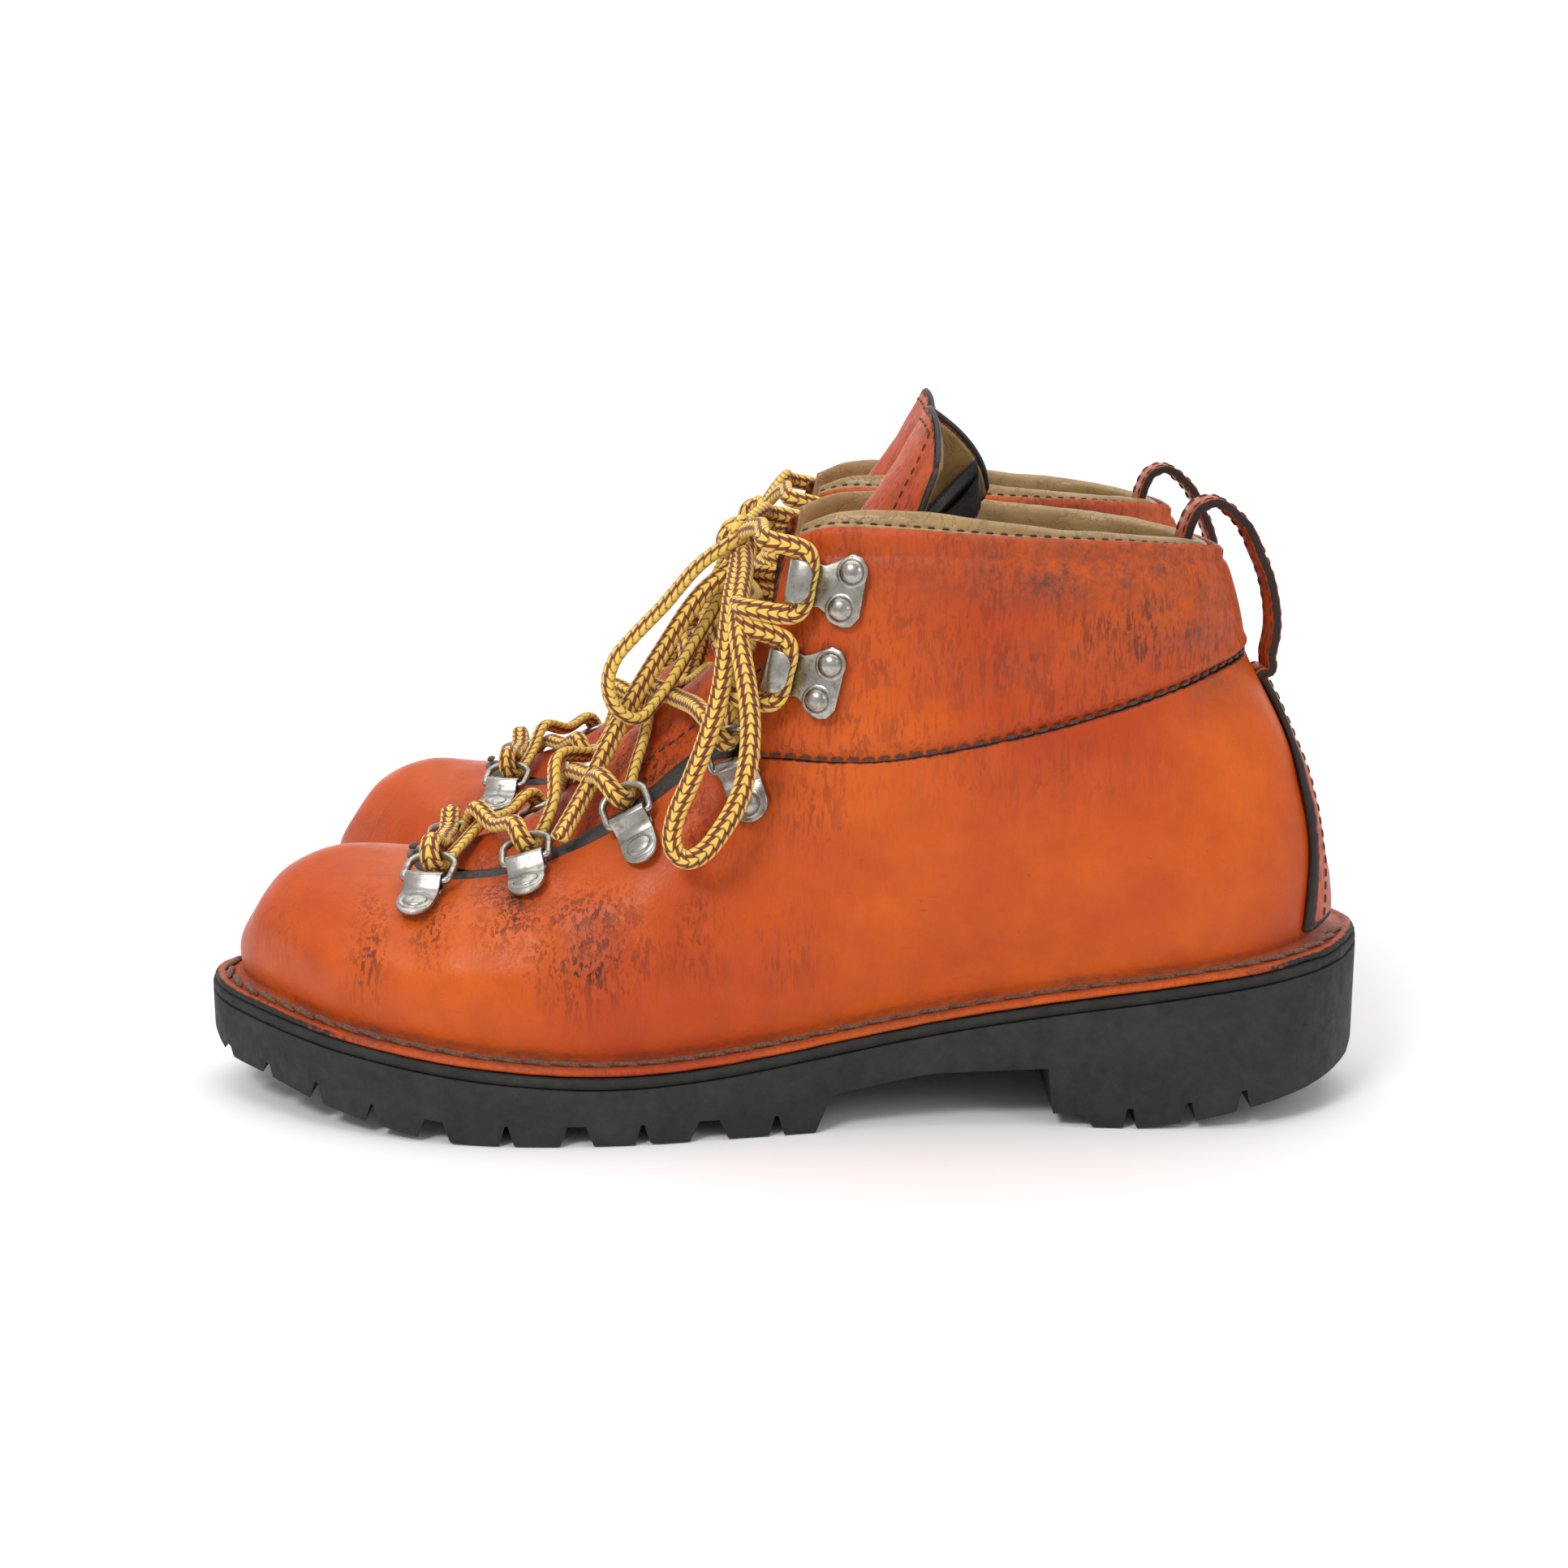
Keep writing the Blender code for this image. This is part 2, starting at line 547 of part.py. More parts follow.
def make_bracket(boot, seat, reach, domed):
    """A folded plate that holds a ring's bar in its eye, with its rivet."""
    eye_n = EYE_RADIUS
    sides = 10
    angles = [2 * pi * (k + 0.5) / sides for k in range(sides)]
    hole = [(EYE_HOLE * cos(a), eye_n + EYE_HOLE * sin(a)) for a in angles]
    shell = []
    for a in angles:
        s, n = EYE_RADIUS * cos(a), eye_n + EYE_RADIUS * sin(a)
        if cos(a) > 0.9:
            s, n = reach, 0.0 if sin(a) < 0 else PLATE
        shell.append((s, n))
    tail = extrude_profile(boot, seat, shell, BRACKET_WIDTH / 2, hole)
    radius = BRACKET_WIDTH / 2 - 0.05
    base = turned(boot, seat, reach - 0.2, 0, [(radius, 0.1), (radius, PLATE - 0.1)], 14)
    rise = 2.0 if domed else 0.7
    foot = PLATE - 0.3
    dome = [(3.3, foot), (3.3, PLATE + 0.3), (2.3, PLATE + 0.3 + 0.75 * rise), (0.8, PLATE + rise)]
    rivet = turned(boot, seat, reach, 0, dome, 10, 1.0 if domed else 1.2)
    return union([tail, base, rivet], "bracket")


def ring_path(count=5):
    """Middle line of a D-ring as (reach, across) points, bar first."""
    arc = [(RING_REACH - 4.2 + 4.2 * sin(a), RING_HALF_WIDTH * cos(a))
           for a in np.linspace(0.25, pi - 0.25, count)]
    half = RING_HALF_WIDTH
    corner = [(0, half - 0.8), (0.4, half - 0.2), (1.4, half)]
    return corner + arc + [(reach, -across) for reach, across in reversed(corner)]


def ring_place(seat, reach, across, off=0.0):
    """A design point in a ring's plane, off it by a distance; the ring tilts about its bar."""
    s = -reach * cos(RING_TILT) + off * sin(RING_TILT)
    n = EYE_RADIUS + reach * sin(RING_TILT) + off * cos(RING_TILT)
    return seat.at(s, across, n)


def make_ring(boot, seat, sides=6):
    path = np.array(ring_path())
    before, after = path - np.roll(path, 1, 0), np.roll(path, -1, 0) - path
    before /= np.linalg.norm(before, axis=1, keepdims=True)
    after /= np.linalg.norm(after, axis=1, keepdims=True)
    ahead = before + after
    ahead /= np.linalg.norm(ahead, axis=1, keepdims=True)
    mitre = 1 / (ahead * after).sum(1)          # keeps the wire's thickness from bend to bend
    loops = []
    for (reach, across), (d_reach, d_across), wide in zip(path, ahead, RING_WIRE * mitre):
        loops.append([ring_place(seat, reach + d_across * wide * cos(a),
                                 across - d_reach * wide * cos(a), RING_WIRE * sin(a))
                      for a in [2 * pi * (k + 0.5) / sides for k in range(sides)]])
    return ring_solid(boot, loops, closed=True, name="ring")


HOOK_GAP = 5.0             # inside the hook, for the lace
HOOK_PLATE = 1.1
HOOK_RIVETS = [(11.3, -4.6), (10.1, 4.6)]
# Half width of the hook's plate at places behind its front bend, then along its folded lip
HOOK_PLATE_WIDTHS = [(15.2, 5.4), (13.4, 8.3), (10.6, 8.9), (7.4, 6.6), (4.5, 5), (0, 5.2)]
HOOK_LIP_WIDTHS = [(0, 5.2), (1.6, 4.6), (2.8, 3.2)]


def make_hook(boot, seat):
    """A plate with two rivets whose front end is folded back over the lace."""
    bend = HOOK_GAP / 2
    middle = HOOK_PLATE + bend
    sections = [((s, 0.0), (s, HOOK_PLATE), half) for s, half in HOOK_PLATE_WIDTHS]
    for a in np.linspace(-pi / 2, -3 * pi / 2, 7)[1:-1]:
        outer = ((bend + HOOK_PLATE) * cos(a), middle + (bend + HOOK_PLATE) * sin(a))
        sections.append((outer, (bend * cos(a), middle + bend * sin(a)), 5.2))
    top = HOOK_PLATE + HOOK_GAP
    sections += [((s, top + HOOK_PLATE), (s, top), half) for s, half in HOOK_LIP_WIDTHS]
    loops = [[seat.at(o[0], half, o[1]), seat.at(i[0], half, i[1]),
              seat.at(i[0], -half, i[1]), seat.at(o[0], -half, o[1])] for o, i, half in sections]
    domes = [turned(boot, seat, s, t, [(3.3, 0.5), (3.3, HOOK_PLATE + 0.6), (2.4, HOOK_PLATE + 1.6),
                                       (0.9, HOOK_PLATE + 2.2)]) for s, t in HOOK_RIVETS]
    return union([ring_solid(boot, loops), *domes], "hook")


# Rings: fold and rivet of the bracket on the outer side, the rivet's reach, and whether it is domed
RING_SEATS = [
    ((-90.3, 23.6, 57.3), (-92.1, 30.6, 52.8), 7.6, False),
    ((-64.2, 24.1, 63.3), (-63.3, 31.1, 58.8), 7.6, False),
    ((-37.1, 27.8, 76), (-33.9, 34.3, 69.1), 8.4, False),
    ((-10.2, 31.4, 91.2), (-7.8, 37, 82.2), 9.6, True),
]
# Hooks: front bend and the middle between the two rivets
HOOK_SEATS = [((2.4, 29, 114.8), (14.2, 34.2, 112.3)), ((6.8, 28.4, 136), (18, 31.8, 134.4))]


def seats_of_boot():
    """Seats of the rings and hooks, outer side first, worked out on the leather's surface."""
    turns = np.linspace(-pi, pi, 240, endpoint=False)
    upper = upper_points(turns, np.linspace(0, 1, 60))
    cuff = cuff_points(cuff_turns(200), np.linspace(0, 1, 40))
    skins = [(g.reshape(-1, 3), inwards(g, c).reshape(-1, 3)) for g, c in ((upper, True),
                                                                          (cuff, False))]
    mirror = np.array([1, -1, 1])
    rings, hooks = [], []
    for sign in (1, -1):
        for fold, rivet, _, _ in RING_SEATS:
            flip = mirror if sign < 0 else 1
            rings.append(Seat(np.array(fold) * flip, np.array(rivet) * flip, *skins[0]))
        for bend, rivets in HOOK_SEATS:
            flip = mirror if sign < 0 else 1
            hooks.append(Seat(np.array(bend) * flip, np.array(rivets) * flip, *skins[1]))
    return rings, hooks


# ---------------------------------------------------------------- lace

KNOT = {"left": (-11, 2, 144.5), "right": (-14, 0.5, 139.3)}
KNOT_RADIUS = 5.0
WRAP = RING_WIRE + LACE_RADIUS + 0.9           # from a ring's wire to the middle of the lace
TONGUE_AT_RING = [0.03, 0.19, 0.35, 0.5, 0.6]
RING_SPREADS = [110, 95, 95, 104]              # degrees of the lace's turn each side of its middle
# Where the lace goes from the upper hooks into the knot
INTO_KNOT = {"left": [(-6, 20, 149.5), (-10, 8, 147)], "right": [(-6, 20, 149.5), (-11, 9, 144)]}
# The bow's loops and the two free ends, from the knot and (for a loop) back to it
BOW = {
    "left": [
        [(-10, 14, 140), (-11, 37, 125), (-9, 43, 114), (-8, 46, 104), (-8.5, 47.5, 96),
         (-10.5, 48, 87.5), (-15, 48, 79), (-20.5, 47.5, 72.5), (-24, 47, 71), (-27, 46.5, 74),
         (-26.5, 45.5, 81), (-22.5, 44.5, 90.5), (-18.5, 43, 101), (-15.5, 40.5, 111),
         (-14, 36, 121), (-13, 29, 131), (-11.5, 15, 139)],
        [(-12, 8, 145), (-20, 10, 140), (-31, 12, 128), (-38, 14, 121), (-43, 15, 115),
         (-44.5, 16, 109), (-42, 17, 102.5), (-37.5, 16, 100), (-32, 13, 105), (-24, 9, 117),
         (-15, 6, 133)],
        [(-9, 8, 142), (-21, 12, 131.5), (-30, 12, 118.5), (-37.5, 12, 106.5), (-44, 13, 94.5),
         (-49.5, 15, 83.5), (-53.5, 19, 76.5), (-57, 25, 71)],
        [(-11, -4, 142), (-16, -12, 132), (-21, -23, 118), (-26, -32, 102), (-33, -37, 88),
         (-40, -40.5, 76), (-47, -42.5, 66)],
    ],
    "right": [
        [(-12, 10, 137), (-11, 34, 125), (-9, 43, 114), (-8, 46, 104), (-8.5, 47.5, 96),
         (-10.5, 48, 87.5), (-15, 48, 79), (-20.5, 47.5, 72.5), (-24, 47, 71), (-27, 46.5, 74),
         (-26.5, 45.5, 81), (-22.5, 44.5, 90.5), (-18.5, 43, 101), (-15.5, 40.5, 111),
         (-14, 36, 121), (-13, 27, 129), (-13, 12, 136)],
        [(-15, 6, 138), (-21, 18, 130), (-27, 30, 118), (-32, 38, 104), (-35, 43, 90),
         (-33, 45, 82), (-29, 44, 88), (-25, 40, 102), (-21, 30, 117), (-16, 14, 131)],
        [(-14, 7, 135), (-22, 18, 124), (-31, 27, 110), (-40, 33, 95), (-48, 35, 81),
         (-55, 35, 70)],
        [(-12, 7, 137), (-15, 24, 127), (-18, 36, 112), (-17, 42, 98), (-14, 45, 84),
         (-9, 46, 70)],
    ],
}


def over_tongue(name, q, c, off):
    """A point off the tongue's outside, at share q of its length and c across it."""
    step = 0.02
    def place(a, b):
        return tongue_points(name, [a], b)[0]
    across = place(q, c + step) - place(q, c - step)
    up = place(q + step, c) - place(q - step, c)
    out = np.cross(up, across)
    return place(q, c) + off * out / np.linalg.norm(out)


def round_ring(seat, side, spread):
    """Into a ring from above, round its arc's wire and out underneath."""
    angles = np.radians(np.linspace(180 - spread, 180 + spread, 5))
    drift = np.linspace(1.2, -1.2, len(angles)) * side
    return [ring_place(seat, RING_REACH + WRAP * cos(a), t, WRAP * sin(a))
            for a, t in zip(angles, drift)]


def round_hook(seat, side):
    """Into a hook from below, behind its bend and out above it."""
    middle = HOOK_PLATE + HOOK_GAP / 2
    route = [(-8.5, 8.4, 2.4), (-3, 8.2, 0.8), (0.2, 7.4, 0), (1.2, 5, 0), (1.2, 0, 0),
             (1.2, -5, 0), (0.2, -7.4, 0), (-3, -8.2, 0.8), (-8.5, -8.4, 2.4)]
    return [seat.at(s, t * side, middle + lift) for s, t, lift in route]


def laced_half(name, rings, hooks, side):
    """Half of the lace, from the middle of the lowest crossing to the knot.

    It starts towards the outer side (side 1) or the inner side (side -1) and changes over after
    every ring and hook; the half that starts inwards lies on top where the two cross.
    """
    low, high, ahead = (2.8, 2.8, 0) if side > 0 else (4.5, 7.5, 4.0)
    points = [over_tongue(name, TONGUE_AT_RING[0], 0.1 * -side, 2.7),
              over_tongue(name, TONGUE_AT_RING[0], 0.6 * side, 4.6)]
    turns = [(rings[i], rings[4 + i]) for i in range(4)] + [(hooks[i], hooks[2 + i])
                                                            for i in range(2)]
    for i, pair in enumerate(turns):
        outer = side > 0
        seat = pair[0] if outer else pair[1]
        points += round_ring(seat, side, RING_SPREADS[i]) if i < 4 else round_hook(seat, side)
        if i == 4:
            other = turns[i + 1][1 if outer else 0]
            start = points[-1]
            end = round_hook(other, -side)[0]
            points.append((np.array(start) + end) / 2 - (ahead, 0, 0))
        elif i < 4:
            start, end = TONGUE_AT_RING[i], TONGUE_AT_RING[i + 1]
            for share, off in ((0.3, low), (0.5, high), (0.7, low + 1.8)):
                q = start + share * (end - start)
                points.append(over_tongue(name, q, side * (0.5 - share) * 2.2, off))
        side = -side
    last = -side
    points += [np.array(p) * (1, last, 1) for p in INTO_KNOT[name]]
    points.append(np.array(KNOT[name], float))
    return points


def tube(boot, points):
    """A plain closed tube of the lace's thickness through the points."""
    curve = bpy.data.curves.new("lace", "CURVE")
    curve.dimensions = "3D"
    curve.bevel_depth = LACE_RADIUS * MM
    curve.bevel_resolution = 2
    curve.use_fill_caps = True
    spline = curve.splines.new("POLY")
    spline.points.add(len(points) - 1)
    for target, point in zip(spline.points, points):
        target.co = (*boot.local(point), 1)
    helper = bpy.data.objects.new("helper", curve)
    bm = bmesh.new()
    bm.from_mesh(helper.to_mesh())
    bmesh.ops.remove_doubles(bm, verts=bm.verts, dist=1e-6)
    bpy.data.objects.remove(helper)
    return mesh_of(bm, "tube")


def make_knot(boot):
    bm = bmesh.new()
    bmesh.ops.create_icosphere(bm, subdivisions=1, radius=KNOT_RADIUS * MM)
    bmesh.ops.translate(bm, verts=bm.verts, vec=boot.local(KNOT[boot.name]))
    return mesh_of(bm, "knot")


def make_lace(boot, rings, hooks):
    knot = np.array(KNOT[boot.name], float)
    routes = [laced_half(boot.name, rings, hooks, side) for side in (1, -1)]
    loops, ends = BOW[boot.name][:2], BOW[boot.name][2:]
    routes += [[knot, *loop, knot + (0.3, 0.4, 0.5)] for loop in loops]
    routes += [[knot, *end] for end in ends]
    return union([make_knot(boot)] + [tube(boot, route) for route in routes], "lace", True)


# ---------------------------------------------------------------- assembly

def build_boot(name, side, finish):
    boot = Boot(name, side)
    boot.add("outsole", make_outsole(boot), finish["rubber"])
    boot.add("midsole", make_midsole(boot), finish["midsole"])
    boot.add("footbed", make_footbed(boot), finish["footbed"])
    boot.add("upper", make_upper(boot), finish["leather"])
    boot.add("cuff", make_cuff(boot), finish["leather"])
    boot.add("lining", make_lining(boot), finish["lining"])
    boot.add("tongue", make_tongue(boot), finish["leather"])
    boot.add("backstay", make_backstay(boot), finish["leather"])
    boot.add("pull_loop", make_pull_loop(boot), finish["leather"])
    rings, hooks = seats_of_boot()
    for i, seat in enumerate(rings):
        label = "%s_%d" % ("outer" if i < 4 else "inner", i % 4 + 1)
        _, _, reach, domed = RING_SEATS[i % 4]
        boot.add("ring_bracket_" + label, make_bracket(boot, seat, reach, domed), finish["metal"])
        boot.add("d_ring_" + label, make_ring(boot, seat), finish["metal"],
                 pivot=seat.at(0, 0, EYE_RADIUS))
    for i, seat in enumerate(hooks):
        label = "%s_%d" % ("outer" if i < 2 else "inner", i % 2 + 1)
        boot.add("lace_hook_" + label, make_hook(boot, seat), finish["metal"])
    boot.add("lace", make_lace(boot, rings, hooks), finish["lace"])


def main():
    for old in list(bpy.data.objects):
        bpy.data.objects.remove(old, do_unlink=True)
    finish = make_materials()
    build_boot("left", -1, finish)
    build_boot("right", 1, finish)


main()
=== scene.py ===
"""Looks of a worn pair of orange leather mountaineering boots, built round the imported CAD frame.

Both boots come from one design, the right one mirrored. A design point is (x, w, z) in millimetres:
x runs from the toe (negative) to the heel, w points to the outer side of the foot and z points up.
"""
from math import acos, cos, pi, radians, sin

import bmesh
import bpy
import numpy as np
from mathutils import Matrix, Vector, noise

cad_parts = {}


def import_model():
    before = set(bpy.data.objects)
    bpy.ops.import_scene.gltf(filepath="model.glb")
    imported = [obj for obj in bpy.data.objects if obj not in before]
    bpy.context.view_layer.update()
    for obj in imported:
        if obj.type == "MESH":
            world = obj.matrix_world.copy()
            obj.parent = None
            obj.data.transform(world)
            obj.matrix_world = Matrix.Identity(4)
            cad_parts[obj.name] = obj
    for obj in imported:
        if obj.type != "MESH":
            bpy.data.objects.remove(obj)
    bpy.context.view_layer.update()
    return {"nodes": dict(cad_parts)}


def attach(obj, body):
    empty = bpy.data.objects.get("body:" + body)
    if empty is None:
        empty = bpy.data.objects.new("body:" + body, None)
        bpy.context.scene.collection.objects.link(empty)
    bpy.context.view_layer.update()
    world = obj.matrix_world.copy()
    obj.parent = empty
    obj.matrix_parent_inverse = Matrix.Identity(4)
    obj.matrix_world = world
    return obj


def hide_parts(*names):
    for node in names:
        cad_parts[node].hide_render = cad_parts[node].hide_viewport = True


MM = 0.001
UP = np.array([0, 0, 1.0])
OUTWARDS = np.array([0, 1.0, 0])

# What only the looks need: the flat braid's half width and half thickness, and the camera
LACE_WIDE = 2.5
LACE_THICK = 1.6
LENS = 52.6
CAMERA_PLACE = (-0.003, -0.6435, 0.205)
CAMERA_DIP = radians(12.02)

# Driving dimensions, the same as the CAD part's
TOE_X = -152.3
HEEL_X = 150.7
MID_X = (TOE_X + HEEL_X) / 2
HALF_LENGTH = (HEEL_X - TOE_X) / 2
LEATHER = 2.3
FLANGE = 2.2
MIDSOLE = 2.6
LUG_DEPTH = 5.0
WELT_INSET = 6.0
SPACING = 115.0
STAGGER = 6.0
GAP = 0.3

RING_WIRE = 1.0
RING_HALF_WIDTH = 6.2
RING_REACH = 9.2
RING_TILT = radians(8)
EYE_RADIUS = 2.2
BRACKET_WIDTH = 9.8
PLATE = 1.3
LACE_RADIUS = 1.9

RUBBER_TOP = [(-152, 28.5), (-130, 25.5), (-100, 21.6), (-70, 18.4), (-45, 16.9), (-20, 17.9),
              (10, 22), (50, 28.6), (90, 35), (125, 40), (151, 42.5)]
GROUND_LINE = [(-153, 17), (-147, 12.5), (-132, 9.5), (-106, 3.6), (-85, 0.4), (-76, 0)]
HEEL_WEAR = [(92, 0), (104, 2), (117, 4.8), (133, 8), (147, 11.5), (151, 16)]


# ---------------------------------------------------------------- curves and outlines

def smooth(keys, values, at, period=None):
    """Read a smooth curve through values, placed at keys, at each place in at."""
    keys = np.asarray(keys, float)
    values = np.asarray(values, float)
    if period:
        keys = np.concatenate([keys[-2:] - period, keys, keys[:2] + period])
        values = np.concatenate([values[-2:], values, values[:2]])
    slopes = np.gradient(values, keys, axis=0)
    at = np.clip(np.atleast_1d(np.asarray(at, float)), keys[0], keys[-1])
    i = np.clip(np.searchsorted(keys, at, side="right") - 1, 0, len(keys) - 2)
    shape = (-1,) + (1,) * (values.ndim - 1)
    step = (keys[i + 1] - keys[i]).reshape(shape)
    t = ((at - keys[i]).reshape(shape)) / step
    return ((1 + 2 * t) * (1 - t) ** 2 * values[i] + t * (1 - t) ** 2 * step * slopes[i]
            + t * t * (3 - 2 * t) * values[i + 1] + t * t * (t - 1) * step * slopes[i + 1])


def along(points, count):
    """Points spread evenly along a smooth curve through the given points."""
    points = np.asarray(points, float)
    keys = np.concatenate([[0], np.cumsum(np.linalg.norm(np.diff(points, axis=0), axis=1))])
    fine = smooth(keys, points, np.linspace(0, keys[-1], 40 * len(points)))
    length = np.concatenate([[0], np.cumsum(np.linalg.norm(np.diff(fine, axis=0), axis=1))])
    where = np.linspace(0, length[-1], count)
    return np.stack([np.interp(where, length, fine[:, k]) for k in range(points.shape[1])], -1)


def height(line, x):
    keys, values = np.array(line).T
    return smooth(keys, values, x)


def turn(x):
    """The angle around the outline, 0 at the toe and pi at the heel, of a place along the boot."""
    return acos(max(-1.0, min(1.0, (MID_X - x) / HALF_LENGTH)))


# Half widths of the outsole: place along the boot, outer side, inner side
HALF_WIDTHS = [(-147, 12, 17), (-135, 24, 31), (-110, 41, 45.5), (-75, 51.5, 51), (-40, 51.5, 46),
               (-5, 45, 35.5), (30, 38.5, 34), (60, 37.5, 37), (95, 39.5, 39), (120, 37.5, 36.5),
               (137, 28, 28), (147.5, 13, 13)]
OUTLINE_TURNS = ([-turn(x) for x, _, _ in reversed(HALF_WIDTHS)] + [0]
                 + [turn(x) for x, _, _ in HALF_WIDTHS] + [pi])
OUTLINE_WIDTHS = ([-inner for _, _, inner in reversed(HALF_WIDTHS)] + [-4]
                  + [outer for _, outer, _ in HALF_WIDTHS] + [0])


def outline(turns, inset=0.0):
    """Places (x, w) on the outsole's outline, moved inwards; turns are below 0 on the inner side."""
    def curve(a):
        width = smooth(OUTLINE_TURNS, OUTLINE_WIDTHS, a, period=2 * pi)
        return np.stack([MID_X - HALF_LENGTH * np.cos(a), width], -1)
    turns = np.asarray(turns, float)
    along_edge = curve(wrap(turns + 0.02)) - curve(wrap(turns - 0.02))
    along_edge[:, 0] = HALF_LENGTH * (np.cos(turns - 0.02) - np.cos(turns + 0.02))
    outward = np.stack([-along_edge[:, 1], along_edge[:, 0]], -1)
    outward /= np.linalg.norm(outward, axis=1, keepdims=True)
    return curve(turns) - inset * outward


def wrap(angles):
    return (np.asarray(angles) + pi) % (2 * pi) - pi


# ---------------------------------------------------------------- the leather surfaces

# Ribs of the upper, from the toe round the outer side to the heel: place of the rib's foot, share
# of the outer side's width that the inner side has, then four points from low to the top edge
RIBS = [
    (TOE_X, 1, [(-139.6, -2, 47.5), (-132, -1, 57), (-117, 0, 63.5), (-98, 0, 62)]),
    (-144, 1, [(-134.6, 16, 46.5), (-127, 13.5, 55.5), (-114, 9, 61.8), (-97, 6, 61.6)]),
    (-130, 1.08, [(-121, 30, 44), (-115, 26, 52.5), (-106, 20, 58.5), (-93, 13, 60.2)]),
    (-106, 1.06, [(-101, 41, 41), (-97, 36.5, 49.5), (-92, 28.5, 55.5), (-84.5, 17.3, 59.2)]),
    (-77, 0.99, [(-76, 47.5, 39), (-74, 42.5, 48.5), (-71, 34, 56.5), (-66, 20.5, 62.8)]),
    (-45, 0.93, [(-45, 47.5, 39), (-45, 43.5, 51), (-44, 36, 62.5), (-42, 24.2, 74.5)]),
    (-13, 0.88, [(-15, 43.5, 43), (-17, 41, 59), (-19, 36, 75), (-19, 27.5, 92)]),
    (14, 0.9, [(12, 39, 48), (7, 38.5, 64), (-1, 37.5, 80), (-8, 33.5, 94)]),
    (45, 0.97, [(43, 38.5, 54), (38, 40, 68), (30, 41, 82), (21, 40.5, 94)]),
    (78, 0.99, [(76, 39, 58), (72, 39.5, 73), (66, 40.5, 88), (58, 41.5, 100.5)]),
    (112, 1, [(108, 36.8, 62), (104, 36, 78), (98, 35.5, 94), (90, 35.5, 109)]),
    (138, 1, [(130.7, 23.5, 66), (127, 23, 82), (121, 21.5, 98), (110, 19.5, 114.5)]),
    (HEEL_X, 1, [(138.2, 0, 67), (134, 0, 83), (127, 0, 99), (118.5, 0, 116.5)]),
]
RIB_TURNS = [turn(rib[0]) for rib in RIBS]
RIB_SHARE = [0, 0.11, 0.26, 0.46, 0.7, 1]      # heights of a rib's six points along the rib
FRONT_TURN = turn(6)                           # where the cuff's front edge meets the upper

# Ribs of the cuff from its front edge to the heel: turn, then four points above the seam
CUFF_RIBS = [
    (FRONT_TURN, [(-8.6, 28.5, 107), (-4.6, 27, 120), (-2.4, 26.3, 136), (1.5, 28, 148)]),
    (turn(20), [(1, 35, 108), (3, 33.5, 122), (5.5, 32, 137), (9.5, 31, 150.8)]),
    (turn(45), [(20.5, 40, 109), (20.5, 38.5, 123), (22, 36.5, 138), (25, 34.5, 151)]),
    (turn(78), [(56, 42, 112), (53.5, 41.5, 125), (52, 40, 138), (51, 37.5, 149.3)]),
    (turn(112), [(88.5, 36.5, 118), (86, 37.5, 128), (84, 37, 139), (82.5, 35.5, 147.5)]),
    (turn(138), [(109.5, 21, 121), (107.5, 22.5, 129), (105.5, 22.5, 137.5), (102.5, 21.5, 145.3)]),
    (pi, [(117.8, 0, 123), (115.8, 0, 130), (113.3, 0, 137.5), (110.8, 0, 143)]),
]
CUFF_SHARE = [0, 0.25, 0.5, 0.75, 1]


def both_sides(turns, nets, shares):
    """Continue ribs given for the outer side round the inner side, mirrored."""
    low = slice(1, -1) if turns[0] == 0 else slice(0, -1)
    mirrored = nets[low][::-1] * np.array([1, -1, 1])
    mirrored[:, :, 1] *= shares[low][::-1]
    return np.concatenate([-np.array(turns)[low][::-1], turns]), np.concatenate([mirrored, nets])


def upper_points(turns, heights):
    """The upper's outside, as a grid of turns by heights, 0 at the welt and 1 at the top edge."""
    turns = np.asarray(turns, float)
    nets = np.array([rib[2] for rib in RIBS], float)
    fade = np.array([0.85, 0.6, 0.35, 0])
    shares = np.array([1 + (rib[1] - 1) * fade for rib in RIBS])
    keys, nets = both_sides(RIB_TURNS, nets, shares)
    rows = smooth(keys, nets, turns, period=2 * pi)
    foot = outline(turns, WELT_INSET)
    swell = outline(turns, WELT_INSET - 2.2)
    toe, heel = np.clip((-112 - foot[:, 0]) / 34, 0, 1), np.clip((foot[:, 0] - 100) / 40, 0, 1)
    foot[:, 0] += 2.1 * toe - 3.2 * heel
    swell[:, 0] += 3.8 * toe - 5.2 * heel
    base = height(RUBBER_TOP, foot[:, 0]) + FLANGE
    foot = np.concatenate([foot, base[:, None]], 1)
    swell = np.concatenate([swell, base[:, None] + 8], 1)
    rows = np.concatenate([foot[:, None], swell[:, None], rows], 1)
    return smooth(RIB_SHARE, rows.transpose(1, 0, 2), heights).transpose(1, 0, 2)


def cuff_points(turns, heights, above_seam=0.9):
    """The cuff's outside, from the outer front edge round the heel to the inner front edge."""
    turns = np.asarray(turns, float)
    nets = np.array([rib[1] for rib in CUFF_RIBS], float)
    keys = np.array([rib[0] for rib in CUFF_RIBS])
    mirrored = nets[:-1][::-1] * np.array([1, -1, 1])
    rows = smooth(np.concatenate([keys, 2 * pi - keys[:-1][::-1]]),
                  np.concatenate([nets, mirrored]), turns)
    seam = upper_points(wrap(turns), [1.0])[:, 0]
    seam[:, 2] += above_seam
    rows = np.concatenate([seam[:, None], rows], 1)
    return smooth(CUFF_SHARE, rows.transpose(1, 0, 2), heights).transpose(1, 0, 2)


def inwards(grid, closed):
    """Unit normals of a grid of turns by heights that point into the boot."""
    if closed:
        across = np.roll(grid, -1, 0) - np.roll(grid, 1, 0)
    else:
        across = np.gradient(grid, axis=0)
    normals = np.cross(across, np.gradient(grid, axis=1))
    normals /= np.linalg.norm(normals, axis=2, keepdims=True)
    return normals


